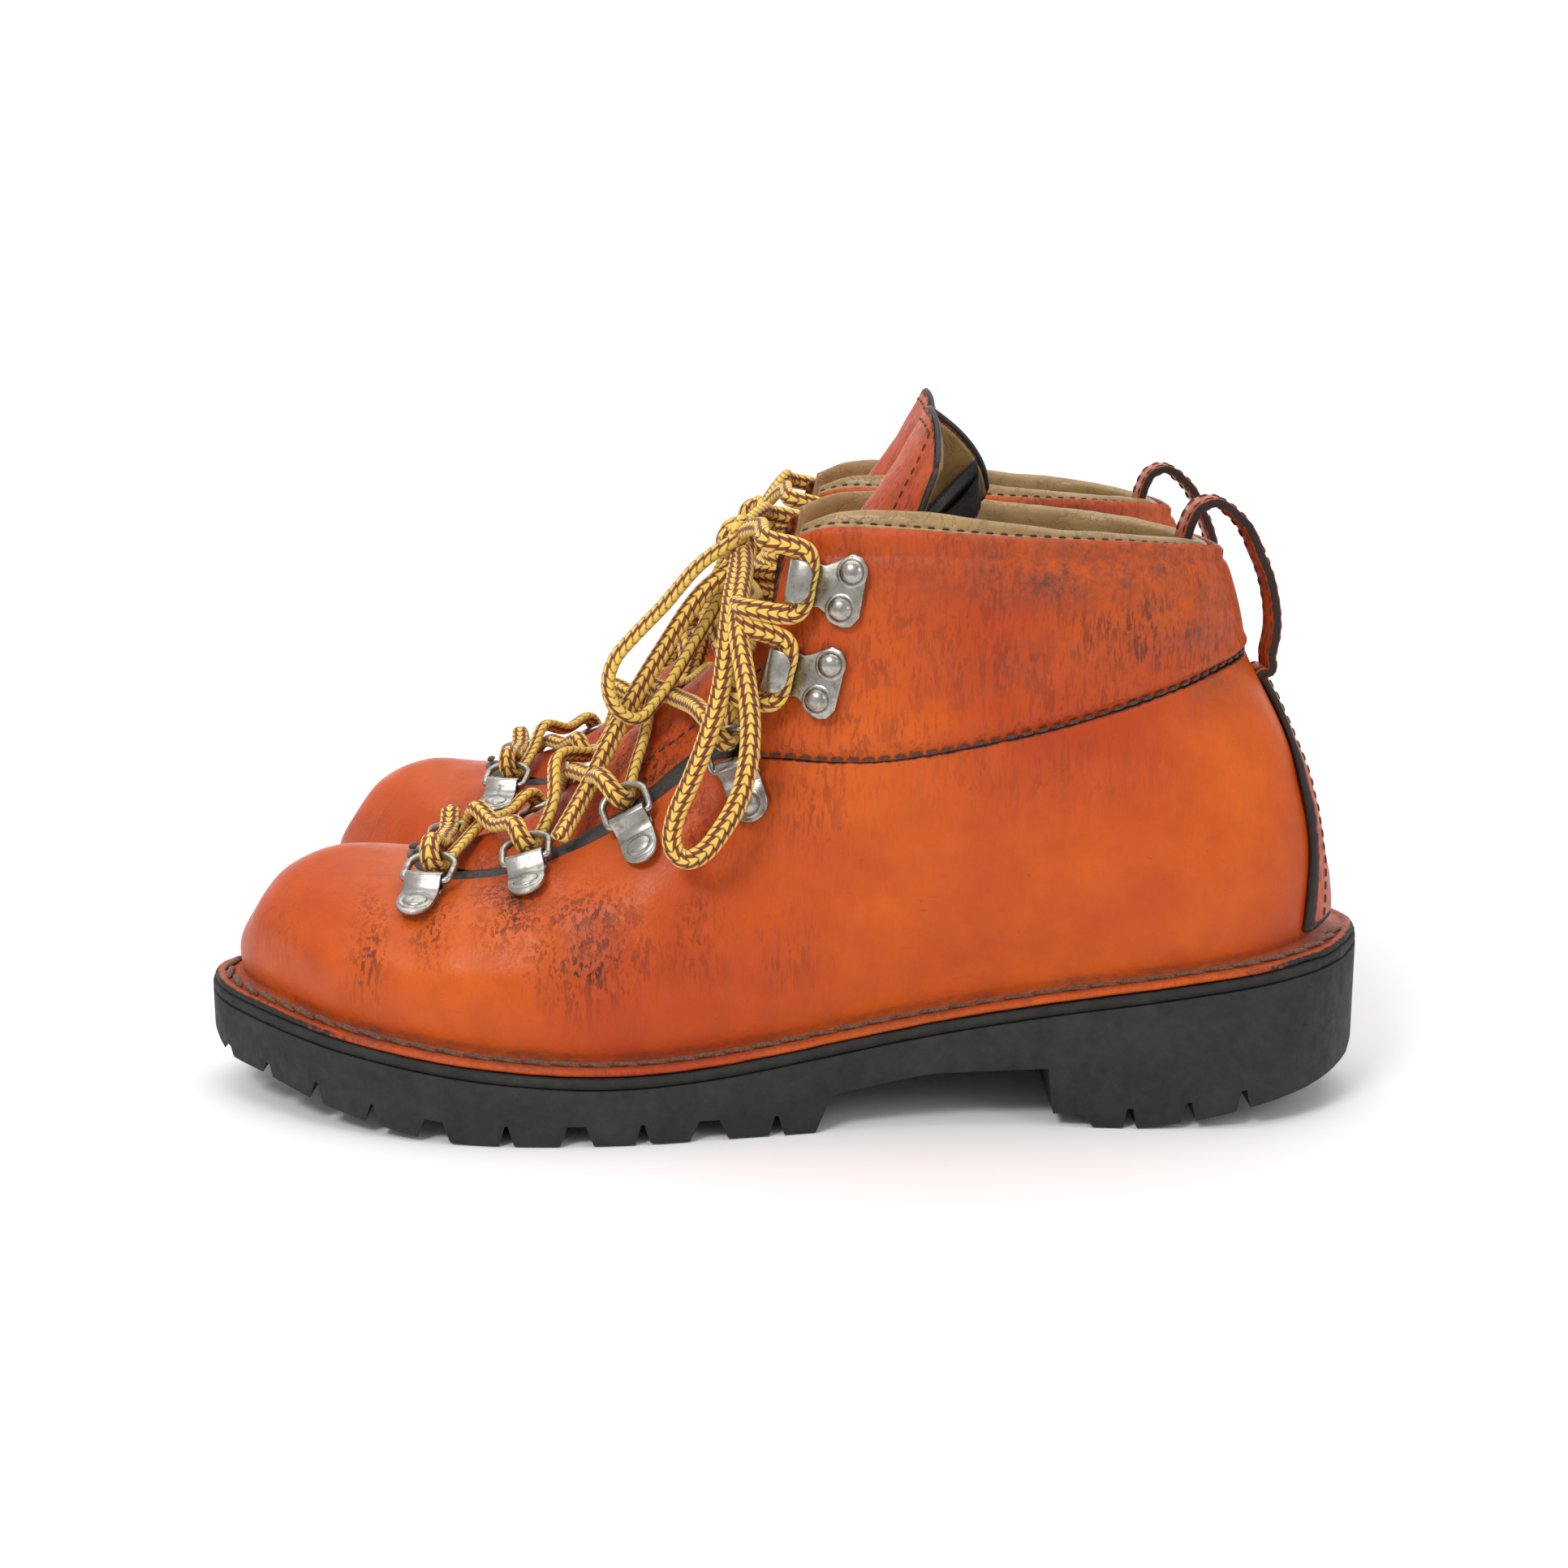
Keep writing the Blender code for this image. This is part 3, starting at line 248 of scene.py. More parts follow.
def cuff_turns(count, trim=0.0):
    return np.linspace(FRONT_TURN + trim, 2 * pi - FRONT_TURN - trim, count)


# ---------------------------------------------------------------- the sole's profile

# Grooves between the lugs: middle, width at the ground, width at the ceiling, depth
FOREFOOT_GROOVES = [(-145, 3, 1, 2.2), (-132.5, 3, 1, 3), (-118, 3.8, 0.8, LUG_DEPTH),
                    (-102.7, 3.8, 0.8, LUG_DEPTH), (-86.7, 8.3, 4.5, LUG_DEPTH),
                    (-68.4, 3.8, 0.8, LUG_DEPTH), (-51, 8.3, 4.5, LUG_DEPTH),
                    (-34.8, 3.8, 0.8, LUG_DEPTH), (-18.5, 9.5, 5, LUG_DEPTH),
                    (-1.8, 3.8, 0.8, LUG_DEPTH)]
HEEL_GROOVES = [(87.2, 3.4, 1.6, LUG_DEPTH), (101.8, 3.8, 1.6, LUG_DEPTH),
                (115.8, 3.6, 1.4, LUG_DEPTH)]
FOREFOOT_END = 8.0
WAIST_LINE = [(12.0, 9.5), (37, 13.8), (66.5, 15)]
HEEL_BREAST = [(68, 3.2), (75.5, 3.2), (78, 0)]


def ground(x):
    """Height of the worn tread's underside: it rises to the toe and to the back of the heel."""
    return height(GROUND_LINE, x)[0] + height(HEEL_WEAR, x)[0]


def groove(middle, wide, narrow, depth):
    """A groove's four corners in the outsole's underside."""
    places = [middle - wide / 2, middle - narrow / 2, middle + narrow / 2, middle + wide / 2]
    return [(x, ground(x) + rise) for x, rise in zip(places, [0, depth, depth, 0])]


def tread_line():
    """The outsole's underside as (x, z) points with grooves between the lugs."""
    points = [(TOE_X + 0.4, ground(TOE_X))]
    for shape in FOREFOOT_GROOVES:
        points += groove(*shape)
    points += [(FOREFOOT_END, 0), *WAIST_LINE, *HEEL_BREAST]
    for shape in HEEL_GROOVES:
        points += groove(*shape)
    return points + [(x, ground(x)) for x, _ in HEEL_WEAR[3:]]


def edge_at(x, inset):
    """Half widths of the outline, moved inwards, at a place along the boot."""
    around = np.linspace(0.001, pi - 0.001, 400)
    outer = outline(around, inset)
    inner = outline(-around, inset)
    return np.interp(x, outer[:, 0], outer[:, 1]), np.interp(x, inner[:, 0], inner[:, 1])


# ---------------------------------------------------------------- tongue and pull loop

# The tongue from the throat upwards: its ridge (x, z) and its outer edge (x, w, z)
TONGUE = [
    ((-93, 62.6), (-91, 7, 60.8)), ((-80, 66.5), (-78, 13.2, 60)), ((-64, 73.2), (-61, 15.8, 62.8)),
    ((-50, 85.5), (-43, 18.5, 73)), ((-36, 97.5), (-27, 20.5, 86)), ((-20, 111), (-9, 20.5, 99)),
    ((-6, 124), (5, 20, 112)), ((8, 137.5), (19, 20, 127)), ((19, 150.5), (29, 20.5, 144)),
    ((28, 164), (35, 21.5, 160)), ((36, 177.5), (39.5, 20, 173.5)),
]
INNER_WING = {"left": (22, -13), "right": (0, 0)}      # how far the inner wing's top is folded back


def tongue_points(name, q, c):
    """The tongue's outside at share q of its length and at c across it, -1 inner to 1 outer."""
    keys = np.linspace(0, 1, len(TONGUE))
    ridge = smooth(keys, [row[0] for row in TONGUE], q)
    edge = smooth(keys, [row[1] for row in TONGUE], q)
    c = np.broadcast_to(c, edge[:, 0].shape)
    fold = np.clip((np.asarray(q) - 0.72) / 0.28, 0, 1) * (c < 0)
    back, down = INNER_WING[name]
    edge_x = edge[:, 0] + back * fold
    edge_z = edge[:, 2] + down * fold
    bend = np.abs(c) ** 1.5
    return np.stack([ridge[:, 0] + (edge_x - ridge[:, 0]) * bend, edge[:, 1] * c,
                     ridge[:, 1] + (edge_z - ridge[:, 1]) * bend], -1)


LOOP_PATH = [(103.2, 149), (105, 152.2), (109, 154), (115, 150.5), (120.8, 141.5), (124.6, 131),
             (125.8, 121), (124.9, 115), (124.7, 110.8)]
LOOP_WIDTH = 13.0


# ---------------------------------------------------------------- places of the hardware

class Seat:
    """A place for hardware on the leather: back points away from the throat, out off the skin."""

    def __init__(self, fold, rivet, skin, skin_normals):
        fold, rivet = np.array(fold, float), np.array(rivet, float)
        nearest = np.argmin(np.linalg.norm(skin - (fold + rivet) / 2, axis=1))
        self.out = -skin_normals[nearest]
        back = rivet - fold
        back -= self.out * back.dot(self.out)
        self.back = back / np.linalg.norm(back)
        self.side = np.cross(self.out, self.back)
        self.rise(fold, skin)

    def rise(self, fold, skin):
        """Put the seat's plane just clear of the highest leather under it."""
        offsets = skin - fold
        s, t = offsets @ self.back, offsets @ self.side
        under = (s > -3.5) & (s < 16) & (np.abs(t) < 7) & (np.abs(offsets @ self.out) < 12)
        top = (offsets[under] @ self.out).max() if under.any() else 0.0
        self.origin = fold + self.out * (top + 3.2 * GAP)

    def at(self, s, t, n):
        """A design point s behind the fold, t along the throat and n off the leather."""
        return self.origin + s * self.back + t * self.side + n * self.out


def ring_place(seat, reach, across, off=0.0):
    """A design point in a ring's plane, off it by a distance; the ring tilts about its bar."""
    s = -reach * cos(RING_TILT) + off * sin(RING_TILT)
    n = EYE_RADIUS + reach * sin(RING_TILT) + off * cos(RING_TILT)
    return seat.at(s, across, n)


HOOK_GAP = 5.0             # inside the hook, for the lace
HOOK_PLATE = 1.1
HOOK_RIVETS = [(11.3, -4.6), (10.1, 4.6)]
# Half width of the hook's plate at places behind its front bend
HOOK_PLATE_WIDTHS = [(15.2, 5.4), (13.4, 8.3), (10.6, 8.9), (7.4, 6.6), (4.5, 5), (0, 5.2)]

# Rings: fold and rivet of the bracket on the outer side, the rivet's reach, and whether it is domed
RING_SEATS = [
    ((-90.3, 23.6, 57.3), (-92.1, 30.6, 52.8), 7.6, False),
    ((-64.2, 24.1, 63.3), (-63.3, 31.1, 58.8), 7.6, False),
    ((-37.1, 27.8, 76), (-33.9, 34.3, 69.1), 8.4, False),
    ((-10.2, 31.4, 91.2), (-7.8, 37, 82.2), 9.6, True),
]
# Hooks: front bend and the middle between the two rivets
HOOK_SEATS = [((2.4, 29, 114.8), (14.2, 34.2, 112.3)), ((6.8, 28.4, 136), (18, 31.8, 134.4))]


def seats_of_boot():
    """Seats of the rings and hooks, outer side first, worked out on the leather's surface."""
    turns = np.linspace(-pi, pi, 240, endpoint=False)
    upper = upper_points(turns, np.linspace(0, 1, 60))
    cuff = cuff_points(cuff_turns(200), np.linspace(0, 1, 40))
    skins = [(g.reshape(-1, 3), inwards(g, c).reshape(-1, 3)) for g, c in ((upper, True),
                                                                          (cuff, False))]
    mirror = np.array([1, -1, 1])
    rings, hooks = [], []
    for sign in (1, -1):
        for fold, rivet, _, _ in RING_SEATS:
            flip = mirror if sign < 0 else 1
            rings.append(Seat(np.array(fold) * flip, np.array(rivet) * flip, *skins[0]))
        for bend, rivets in HOOK_SEATS:
            flip = mirror if sign < 0 else 1
            hooks.append(Seat(np.array(bend) * flip, np.array(rivets) * flip, *skins[1]))
    return rings, hooks


# ---------------------------------------------------------------- the lace's route

KNOT = {"left": (-11, 2, 144.5), "right": (-14, 0.5, 139.3)}
WRAP = RING_WIRE + LACE_RADIUS + 0.9           # from a ring's wire to the middle of the lace
TONGUE_AT_RING = [0.03, 0.19, 0.35, 0.5, 0.6]
RING_SPREADS = [110, 95, 95, 104]              # degrees of the lace's turn each side of its middle
# Where the lace goes from the upper hooks into the knot
INTO_KNOT = {"left": [(-6, 20, 149.5), (-10, 8, 147)], "right": [(-6, 20, 149.5), (-11, 9, 144)]}
# The bow's loops and the two free ends, from the knot and (for a loop) back to it. The points are
# the CAD lace's, apart from the right boot's second loop, whose lowest turn is wider here
BOW = {
    "left": [
        [(-10, 14, 140), (-11, 37, 125), (-9, 43, 114), (-8, 46, 104), (-8.5, 47.5, 96),
         (-10.5, 48, 87.5), (-15, 48, 79), (-20.5, 47.5, 72.5), (-24, 47, 71), (-27, 46.5, 74),
         (-26.5, 45.5, 81), (-22.5, 44.5, 90.5), (-18.5, 43, 101), (-15.5, 40.5, 111),
         (-14, 36, 121), (-13, 29, 131), (-11.5, 15, 139)],
        [(-12, 8, 145), (-20, 10, 140), (-31, 12, 128), (-38, 14, 121), (-43, 15, 115),
         (-44.5, 16, 109), (-42, 17, 102.5), (-37.5, 16, 100), (-32, 13, 105), (-24, 9, 117),
         (-15, 6, 133)],
        [(-9, 8, 142), (-21, 12, 131.5), (-30, 12, 118.5), (-37.5, 12, 106.5), (-44, 13, 94.5),
         (-49.5, 15, 83.5), (-53.5, 19, 76.5), (-57, 25, 71)],
        [(-11, -4, 142), (-16, -12, 132), (-21, -23, 118), (-26, -32, 102), (-33, -37, 88),
         (-40, -40.5, 76), (-47, -42.5, 66)],
    ],
    "right": [
        [(-12, 10, 137), (-11, 34, 125), (-9, 43, 114), (-8, 46, 104), (-8.5, 47.5, 96),
         (-10.5, 48, 87.5), (-15, 48, 79), (-20.5, 47.5, 72.5), (-24, 47, 71), (-27, 46.5, 74),
         (-26.5, 45.5, 81), (-22.5, 44.5, 90.5), (-18.5, 43, 101), (-15.5, 40.5, 111),
         (-14, 36, 121), (-13, 27, 129), (-13, 12, 136)],
        [(-15, 6, 138), (-21, 18, 130), (-27, 30, 118), (-32, 38, 104), (-36.5, 42.5, 91),
         (-36.5, 44.5, 84.5), (-32, 45.5, 80), (-27, 45, 83.5), (-25.5, 43, 91), (-24, 40, 102),
         (-21, 30, 117), (-16, 14, 131)],
        [(-14, 7, 135), (-22, 18, 124), (-31, 27, 110), (-40, 33, 95), (-48, 35, 81),
         (-55, 35, 70)],
        [(-12, 7, 137), (-15, 24, 127), (-18, 36, 112), (-17, 42, 98), (-14, 45, 84),
         (-9, 46, 70)],
    ],
}


def over_tongue(name, q, c, off):
    """A point off the tongue's outside, at share q of its length and c across it."""
    step = 0.02

    def place(a, b):
        return tongue_points(name, [a], b)[0]

    across = place(q, c + step) - place(q, c - step)
    up = place(q + step, c) - place(q - step, c)
    out = np.cross(up, across)
    return place(q, c) + off * out / np.linalg.norm(out)


def round_ring(seat, side, spread):
    """Into a ring from above, round its arc's wire and out underneath."""
    angles = np.radians(np.linspace(180 - spread, 180 + spread, 5))
    drift = np.linspace(1.2, -1.2, len(angles)) * side
    return [ring_place(seat, RING_REACH + WRAP * cos(a), t, WRAP * sin(a))
            for a, t in zip(angles, drift)]


def round_hook(seat, side):
    """Into a hook from below, behind its bend and out above it."""
    middle = HOOK_PLATE + HOOK_GAP / 2
    route = [(-8.5, 8.4, 2.4), (-3, 8.2, 0.8), (0.2, 7.4, 0), (1.2, 5, 0), (1.2, 0, 0),
             (1.2, -5, 0), (0.2, -7.4, 0), (-3, -8.2, 0.8), (-8.5, -8.4, 2.4)]
    return [seat.at(s, t * side, middle + lift) for s, t, lift in route]


def laced_half(name, rings, hooks, side):
    """Half of the lace, from the middle of the lowest crossing to the knot.

    It starts towards the outer side (side 1) or the inner side (side -1) and changes over after
    every ring and hook; the half that starts inwards lies on top where the two cross.
    """
    low, high, ahead = (2.8, 2.8, 0) if side > 0 else (4.5, 7.5, 4.0)
    points = [over_tongue(name, TONGUE_AT_RING[0], 0.1 * -side, 2.7),
              over_tongue(name, TONGUE_AT_RING[0], 0.6 * side, 4.6)]
    turns = [(rings[i], rings[4 + i]) for i in range(4)] + [(hooks[i], hooks[2 + i])
                                                            for i in range(2)]
    for i, pair in enumerate(turns):
        outer = side > 0
        seat = pair[0] if outer else pair[1]
        points += round_ring(seat, side, RING_SPREADS[i]) if i < 4 else round_hook(seat, side)
        if i == 4:
            other = turns[i + 1][1 if outer else 0]
            start = points[-1]
            end = round_hook(other, -side)[0]
            points.append((np.array(start) + end) / 2 - (ahead, 0, 0))
        elif i < 4:
            start, end = TONGUE_AT_RING[i], TONGUE_AT_RING[i + 1]
            for share, off in ((0.3, low), (0.5, high), (0.7, low + 1.8)):
                q = start + share * (end - start)
                points.append(over_tongue(name, q, side * (0.5 - share) * 2.2, off))
        side = -side
    last = -side
    points += [np.array(p) * (1, last, 1) for p in INTO_KNOT[name]]
    points.append(np.array(KNOT[name], float))
    return points


# ---------------------------------------------------------------- boots and meshes

class Boot:
    """One boot of the pair: where it stands and which way its outer side points."""

    def __init__(self, name, side):
        self.name = name
        self.side = side
        self.body = name + "_boot"

    def world(self, points):
        """Design points in millimetres as places in the frame in metres."""
        points = np.array(points, float)
        points[..., 0] += self.side * STAGGER / 2
        points[..., 1] = self.side * (SPACING / 2 + points[..., 1])
        return points * MM

    def node(self, name):
        return self.name + "_" + name


def grid_faces(rows, size, closed, start=0):
    """Quads of a grid whose loops are closed, and whose rows are closed too if asked."""
    i, k = np.meshgrid(np.arange(rows if closed else rows - 1), np.arange(size), indexing="ij")
    ahead, beside = (i + 1) % rows, (k + 1) % size
    quads = np.stack([i * size + k, i * size + beside, ahead * size + beside, ahead * size + k], -1)
    return (quads.reshape(-1, 4) + start).tolist()


def face_outwards(mesh):
    """Turn every face of closed bodies outwards and shade them smooth."""
    bm = bmesh.new()
    bm.from_mesh(mesh)
    bmesh.ops.recalc_face_normals(bm, faces=bm.faces)
    bm.to_mesh(mesh)
    bm.free()
    mesh.shade_smooth()


def solids_mesh(name, solids, closed=False, values=None, flat=None):
    """A mesh of closed bodies, each an array of loops of points, in metres."""
    points, faces, start = [], [], 0
    for loops in solids:
        rows, size = loops.shape[:2]
        points.append(loops.reshape(-1, 3))
        faces += grid_faces(rows, size, closed, start)
        if not closed:
            last = start + (rows - 1) * size
            faces += [list(range(start, start + size)), list(range(last, last + size))]
        start += rows * size
    mesh = bpy.data.meshes.new(name)
    mesh.from_pydata(np.concatenate(points).tolist(), [], faces)
    for key, value in (values or {}).items():
        layer = mesh.attributes.new(key, "FLOAT", "POINT")
        layer.data.foreach_set("value", np.asarray(value, np.float32).ravel())
    face_outwards(mesh)
    if flat:
        mesh.set_sharp_from_angle(angle=radians(flat))
    return mesh


def show(boot, name, mesh, finish, body=None):
    """Put a piece into the scene with its material; finish is (material, the record's slot)."""
    piece = bpy.data.objects.new(boot.node(name), mesh)
    bpy.context.scene.collection.objects.link(piece)
    piece.data.materials.clear()
    piece.data.materials.append(finish[0])
    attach(piece, body or boot.body)
    return piece


def show_rows(boot, name, rows, finish, flat=None):
    """Many small closed bodies, such as a row's stitches, as one piece."""
    return show(boot, name, solids_mesh(name, [boot.world(row) for row in rows], flat=flat), finish)


def bevelled(piece, width, segments=2):
    """Round a piece's sharp edges by a width in millimetres and keep the result as its mesh."""
    step = piece.modifiers.new("round", "BEVEL")
    step.width = width * MM
    step.segments = segments
    step.limit_method = "ANGLE"
    step.angle_limit = radians(32)
    evaluated = piece.evaluated_get(bpy.context.evaluated_depsgraph_get())
    mesh = bpy.data.meshes.new_from_object(evaluated)
    piece.modifiers.clear()
    piece.data = mesh
    mesh.shade_smooth()
    mesh.set_sharp_from_angle(angle=radians(50))
    return piece


def unit(vectors):
    return vectors / np.maximum(np.linalg.norm(vectors, axis=-1, keepdims=True), 1e-9)


def frames(path, up=None):
    """Directions ahead, sideways and up along a path; without up, they turn as little as they can."""
    ahead = unit(np.gradient(path, axis=0))
    if up is None:
        rise = np.zeros_like(path)
        start = np.array([0.0, 0.0, 1.0]) if abs(ahead[0, 2]) < 0.9 else np.array([1.0, 0.0, 0.0])
        for i, direction in enumerate(ahead):
            start = start - start.dot(direction) * direction
            start /= np.linalg.norm(start)
            rise[i] = start
    else:
        rise = np.broadcast_to(up, path.shape)
        rise = unit(rise - (rise * ahead).sum(1, keepdims=True) * ahead)
    return ahead, np.cross(ahead, rise), rise


def sweep(path, wide, thick, sides=12, up=None, taper=None):
    """Loops of an oval section, half widths wide and thick, along a path."""
    path = np.asarray(path, float)
    _, side, rise = frames(path, up)
    turns = np.linspace(0, 2 * pi, sides, endpoint=False)
    grow = np.ones(len(path)) if taper is None else np.asarray(taper)
    return (path[:, None] + (wide * grow)[:, None, None] * np.cos(turns)[None, :, None] * side[:, None]
            + (thick * grow)[:, None, None] * np.sin(turns)[None, :, None] * rise[:, None])


def rounded_ends(count, length, radius):
    """A taper that rounds both ends of a sweep."""
    place = np.linspace(0, length, count)
    near = np.minimum(place, length - place) / radius
    return np.sqrt(np.clip(1 - (1 - np.clip(near, 0, 1)) ** 2, 0.02, 1))


def stitch_row(path, up, pitch, length, radius, slant=0.0, rise=0.35):
    """Short thread stitches along a path: a list of loops for solids_mesh."""
    path = np.asarray(path, float)
    span = np.concatenate([[0], np.cumsum(np.linalg.norm(np.diff(path, axis=0), axis=1))])
    up = np.broadcast_to(up, path.shape)
    stitches = []
    for middle in np.arange(pitch / 2, span[-1], pitch):
        centre, direction, top = [np.array([np.interp(middle, span, values[:, k]) for k in range(3)])
                                  for values in (path, np.gradient(path, span, axis=0), up)]
        direction /= np.linalg.norm(direction)
        direction = direction + slant * np.cross(top, direction)
        along_it = np.linspace(-1, 1, 7)
        arch = rise * radius * (1 - along_it ** 2)
        line = centre + along_it[:, None] * direction * length / 2 + arch[:, None] * top
        stitches.append(sweep(line, radius * 1.15, radius, 7, top, rounded_ends(7, length, radius * 1.6)))
    return stitches


def bumps(points, size, seed=0.0, octaves=2):
    """Smooth noise from -1 to 1 at points, with lumps of about the given size in millimetres."""
    flat = np.asarray(points, float).reshape(-1, 3) / size + seed
    found = [noise.fractal(Vector(point), 0.6, 2.1, octaves) for point in flat]
    return np.array(found).reshape(np.asarray(points).shape[:-1])


def blobs(points, centres):
    """How far each point lies inside soft patches, each (x, z, half length, half height, strength)."""
    total = np.zeros(points.shape[:-1])
    for x, z, long, high, strength in centres:
        far = ((points[..., 0] - x) / long) ** 2 + ((points[..., 2] - z) / high) ** 2
        total = np.maximum(total, strength * np.exp(-far))
    return total


# ---------------------------------------------------------------- materials

class Shade:
    """A material being made, with short ways to add and join its nodes."""

    def __init__(self, name, roughness=0.5, metallic=0.0, specular=0.5, sheen=0.0):
        self.material = bpy.data.materials.new(name)
        self.material.use_nodes = True
        self.tree = self.material.node_tree
        self.shader = self.tree.nodes["Principled BSDF"]
        self.shader.inputs["Roughness"].default_value = roughness
        self.shader.inputs["Metallic"].default_value = metallic
        self.shader.inputs["Specular IOR Level"].default_value = specular
        self.shader.inputs["Sheen Weight"].default_value = sheen
        self.place = self.tree.nodes.new("ShaderNodeTexCoord").outputs["Object"]

    def join(self, source, target):
        if isinstance(source, (int, float)):
            target.default_value = source
        elif isinstance(source, tuple):
            target.default_value = (*source, 1) if len(source) == 3 else source
        else:
            self.tree.links.new(source, target)

    def stretched(self, x, y, z, turn_y=0.0):
        mapping = self.tree.nodes.new("ShaderNodeMapping")
        self.join(self.place, mapping.inputs["Vector"])
        mapping.inputs["Scale"].default_value = (x, y, z)
        mapping.inputs["Rotation"].default_value = (0, turn_y, 0)
        return mapping.outputs["Vector"]

    def noise(self, scale, detail=4.0, roughness=0.6, distortion=0.0, place=None):
        made = self.tree.nodes.new("ShaderNodeTexNoise")
        self.join(place or self.place, made.inputs["Vector"])
        for key, value in (("Scale", scale), ("Detail", detail), ("Roughness", roughness),
                           ("Distortion", distortion)):
            made.inputs[key].default_value = value
        return made.outputs["Fac"]

    def cells(self, scale, feature="F1"):
        made = self.tree.nodes.new("ShaderNodeTexVoronoi")
        made.feature = feature
        self.join(self.place, made.inputs["Vector"])
        made.inputs["Scale"].default_value = scale
        return made.outputs["Distance"]

    def value(self, name):
        """A number stored on the mesh's points; 0 where a mesh has none."""
        made = self.tree.nodes.new("ShaderNodeAttribute")
        made.attribute_name = name
        return made.outputs["Fac"]

    def math(self, operation, first, second=0.0, third=0.0, clamp=False):
        made = self.tree.nodes.new("ShaderNodeMath")
        made.operation = operation
        made.use_clamp = clamp
        for target, source in zip(made.inputs, (first, second, third)):
            self.join(source, target)
        return made.outputs["Value"]

    def spread(self, source, low, high, to_low=0.0, to_high=1.0):
        """Stretch the stretch low..high of a number over to_low..to_high, and clip it there."""
        made = self.tree.nodes.new("ShaderNodeMapRange")
        made.clamp = True
        for key, value in (("Value", source), ("From Min", low), ("From Max", high),
                           ("To Min", to_low), ("To Max", to_high)):
            self.join(value, made.inputs[key])
        return made.outputs["Result"]

    def mix(self, share, first, second):
        made = self.tree.nodes.new("ShaderNodeMix")
        made.data_type = "RGBA"
        self.join(share, made.inputs[0])
        self.join(first, made.inputs[6])
        self.join(second, made.inputs[7])
        return made.outputs[2]

    def lines(self, source, middle=0.5, half=0.02):
        """1 along thin lines where a noise crosses a value."""
        away = self.math("ABSOLUTE", self.math("SUBTRACT", source, middle))
        return self.spread(away, 0.0, half, 1.0, 0.0)

    def bump(self, height, distance, strength=1.0, under=None):
        made = self.tree.nodes.new("ShaderNodeBump")
        made.inputs["Strength"].default_value = strength
        made.inputs["Distance"].default_value = distance * MM
        self.join(height, made.inputs["Height"])
        if under is not None:
            self.join(under, made.inputs["Normal"])
        return made.outputs["Normal"]

    def finish(self, colour, roughness=None, normal=None):
        self.join(colour, self.shader.inputs["Base Color"])
        if roughness is not None:
            self.join(roughness, self.shader.inputs["Roughness"])
        if normal is not None:
            self.join(normal, self.shader.inputs["Normal"])
        return self.material


def creased_leather(name, deep, bright):
    """Waxed orange leather: uneven dye, fine pores, darker crease patches and dark crease strokes that
    are painted shade in the creases, grime, worn black edges.
    """
    s = Shade(name, roughness=0.4, specular=0.24)
    tone = s.spread(s.noise(16, 3), 0.32, 0.68)
    mottle = s.spread(s.noise(120, 5, 0.65), 0.35, 0.7)
    colour = s.mix(tone, deep, bright)
    colour = s.mix(s.math("MULTIPLY", mottle, 0.3), colour, tuple(0.7 * c for c in deep))
    patchy = s.spread(s.noise(90, 4, 0.7), 0.34, 0.62)
    flex = s.math("MULTIPLY", s.value("flex"), patchy)
    strokes = None
    for lean, scale, low in ((0.25, 900, 0.56), (-0.3, 760, 0.57), (0.05, 480, 0.59)):
        grain = s.noise(scale, 2.5, 0.55, 0.35, s.stretched(1, 1, 0.22, lean))
        stroke = s.spread(grain, low, low + 0.055)
        strokes = stroke if strokes is None else s.math("MAXIMUM", strokes, stroke)
    depth = s.math("ADD", s.math("MULTIPLY", flex, 1.25), 0.03)
    creases = s.math("MULTIPLY", strokes, depth, clamp=True)
    # painted shade: the crease patches are darkened and the crease strokes painted near black, as shade
    # in the folds
    colour = s.mix(s.math("MULTIPLY", flex, 0.3), colour, (0.32, 0.045, 0.018))
    colour = s.mix(creases, colour, (0.05, 0.016, 0.012))
    fine = s.lines(s.noise(330, 5, 0.65, 1.0, s.stretched(1, 1, 0.6, 0.2)), 0.5, 0.012)
    colour = s.mix(s.math("MULTIPLY", fine, 0.10), colour, (0.12, 0.03, 0.02))
    smudge = s.math("MULTIPLY", s.spread(s.noise(75, 5, 0.7), 0.34, 0.62),
                    s.spread(s.noise(600, 5, 0.8), 0.25, 0.6))
    smear = s.math("MULTIPLY", s.value("grime"), smudge)
    colour = s.mix(smear, colour, (0.045, 0.037, 0.036))
    nicks = s.spread(s.noise(430, 3, 0.5, 1.5, s.stretched(0.3, 1, 1, 0.6)), 0.7, 0.73)
    colour = s.mix(s.math("MULTIPLY", nicks, 0.3), colour, (0.12, 0.03, 0.02))
    edge = s.math("ADD", s.value("worn"), s.math("MULTIPLY", s.noise(500, 5, 0.7), 0.8))
    worn = s.spread(edge, 0.95, 1.15)
    colour = s.mix(worn, colour, (0.022, 0.018, 0.016))
    rough = s.spread(s.noise(190, 4), 0.3, 0.7, 0.33, 0.5)
    rough = s.math("ADD", rough, s.math("MULTIPLY", s.math("MAXIMUM", smear, worn), 0.2))
    normal = s.bump(s.cells(1150), 0.10, 0.35)
    normal = s.bump(s.noise(380, 3), 0.25, 0.4, normal)
    pebbled = s.math("MULTIPLY", s.value("pebble"), s.cells(480, "SMOOTH_F1"))
    normal = s.bump(pebbled, 0.7, 0.8, normal)
    wrinkles = s.noise(330, 3, 0.5, 0.3, s.stretched(1, 1, 0.3, 0.1))
    normal = s.bump(s.math("MULTIPLY", wrinkles, flex), 0.9, 0.7, normal)
    normal = s.bump(s.math("MULTIPLY", creases, -1.0), 0.3, 0.9, normal)
    return s.finish(colour, rough, normal)


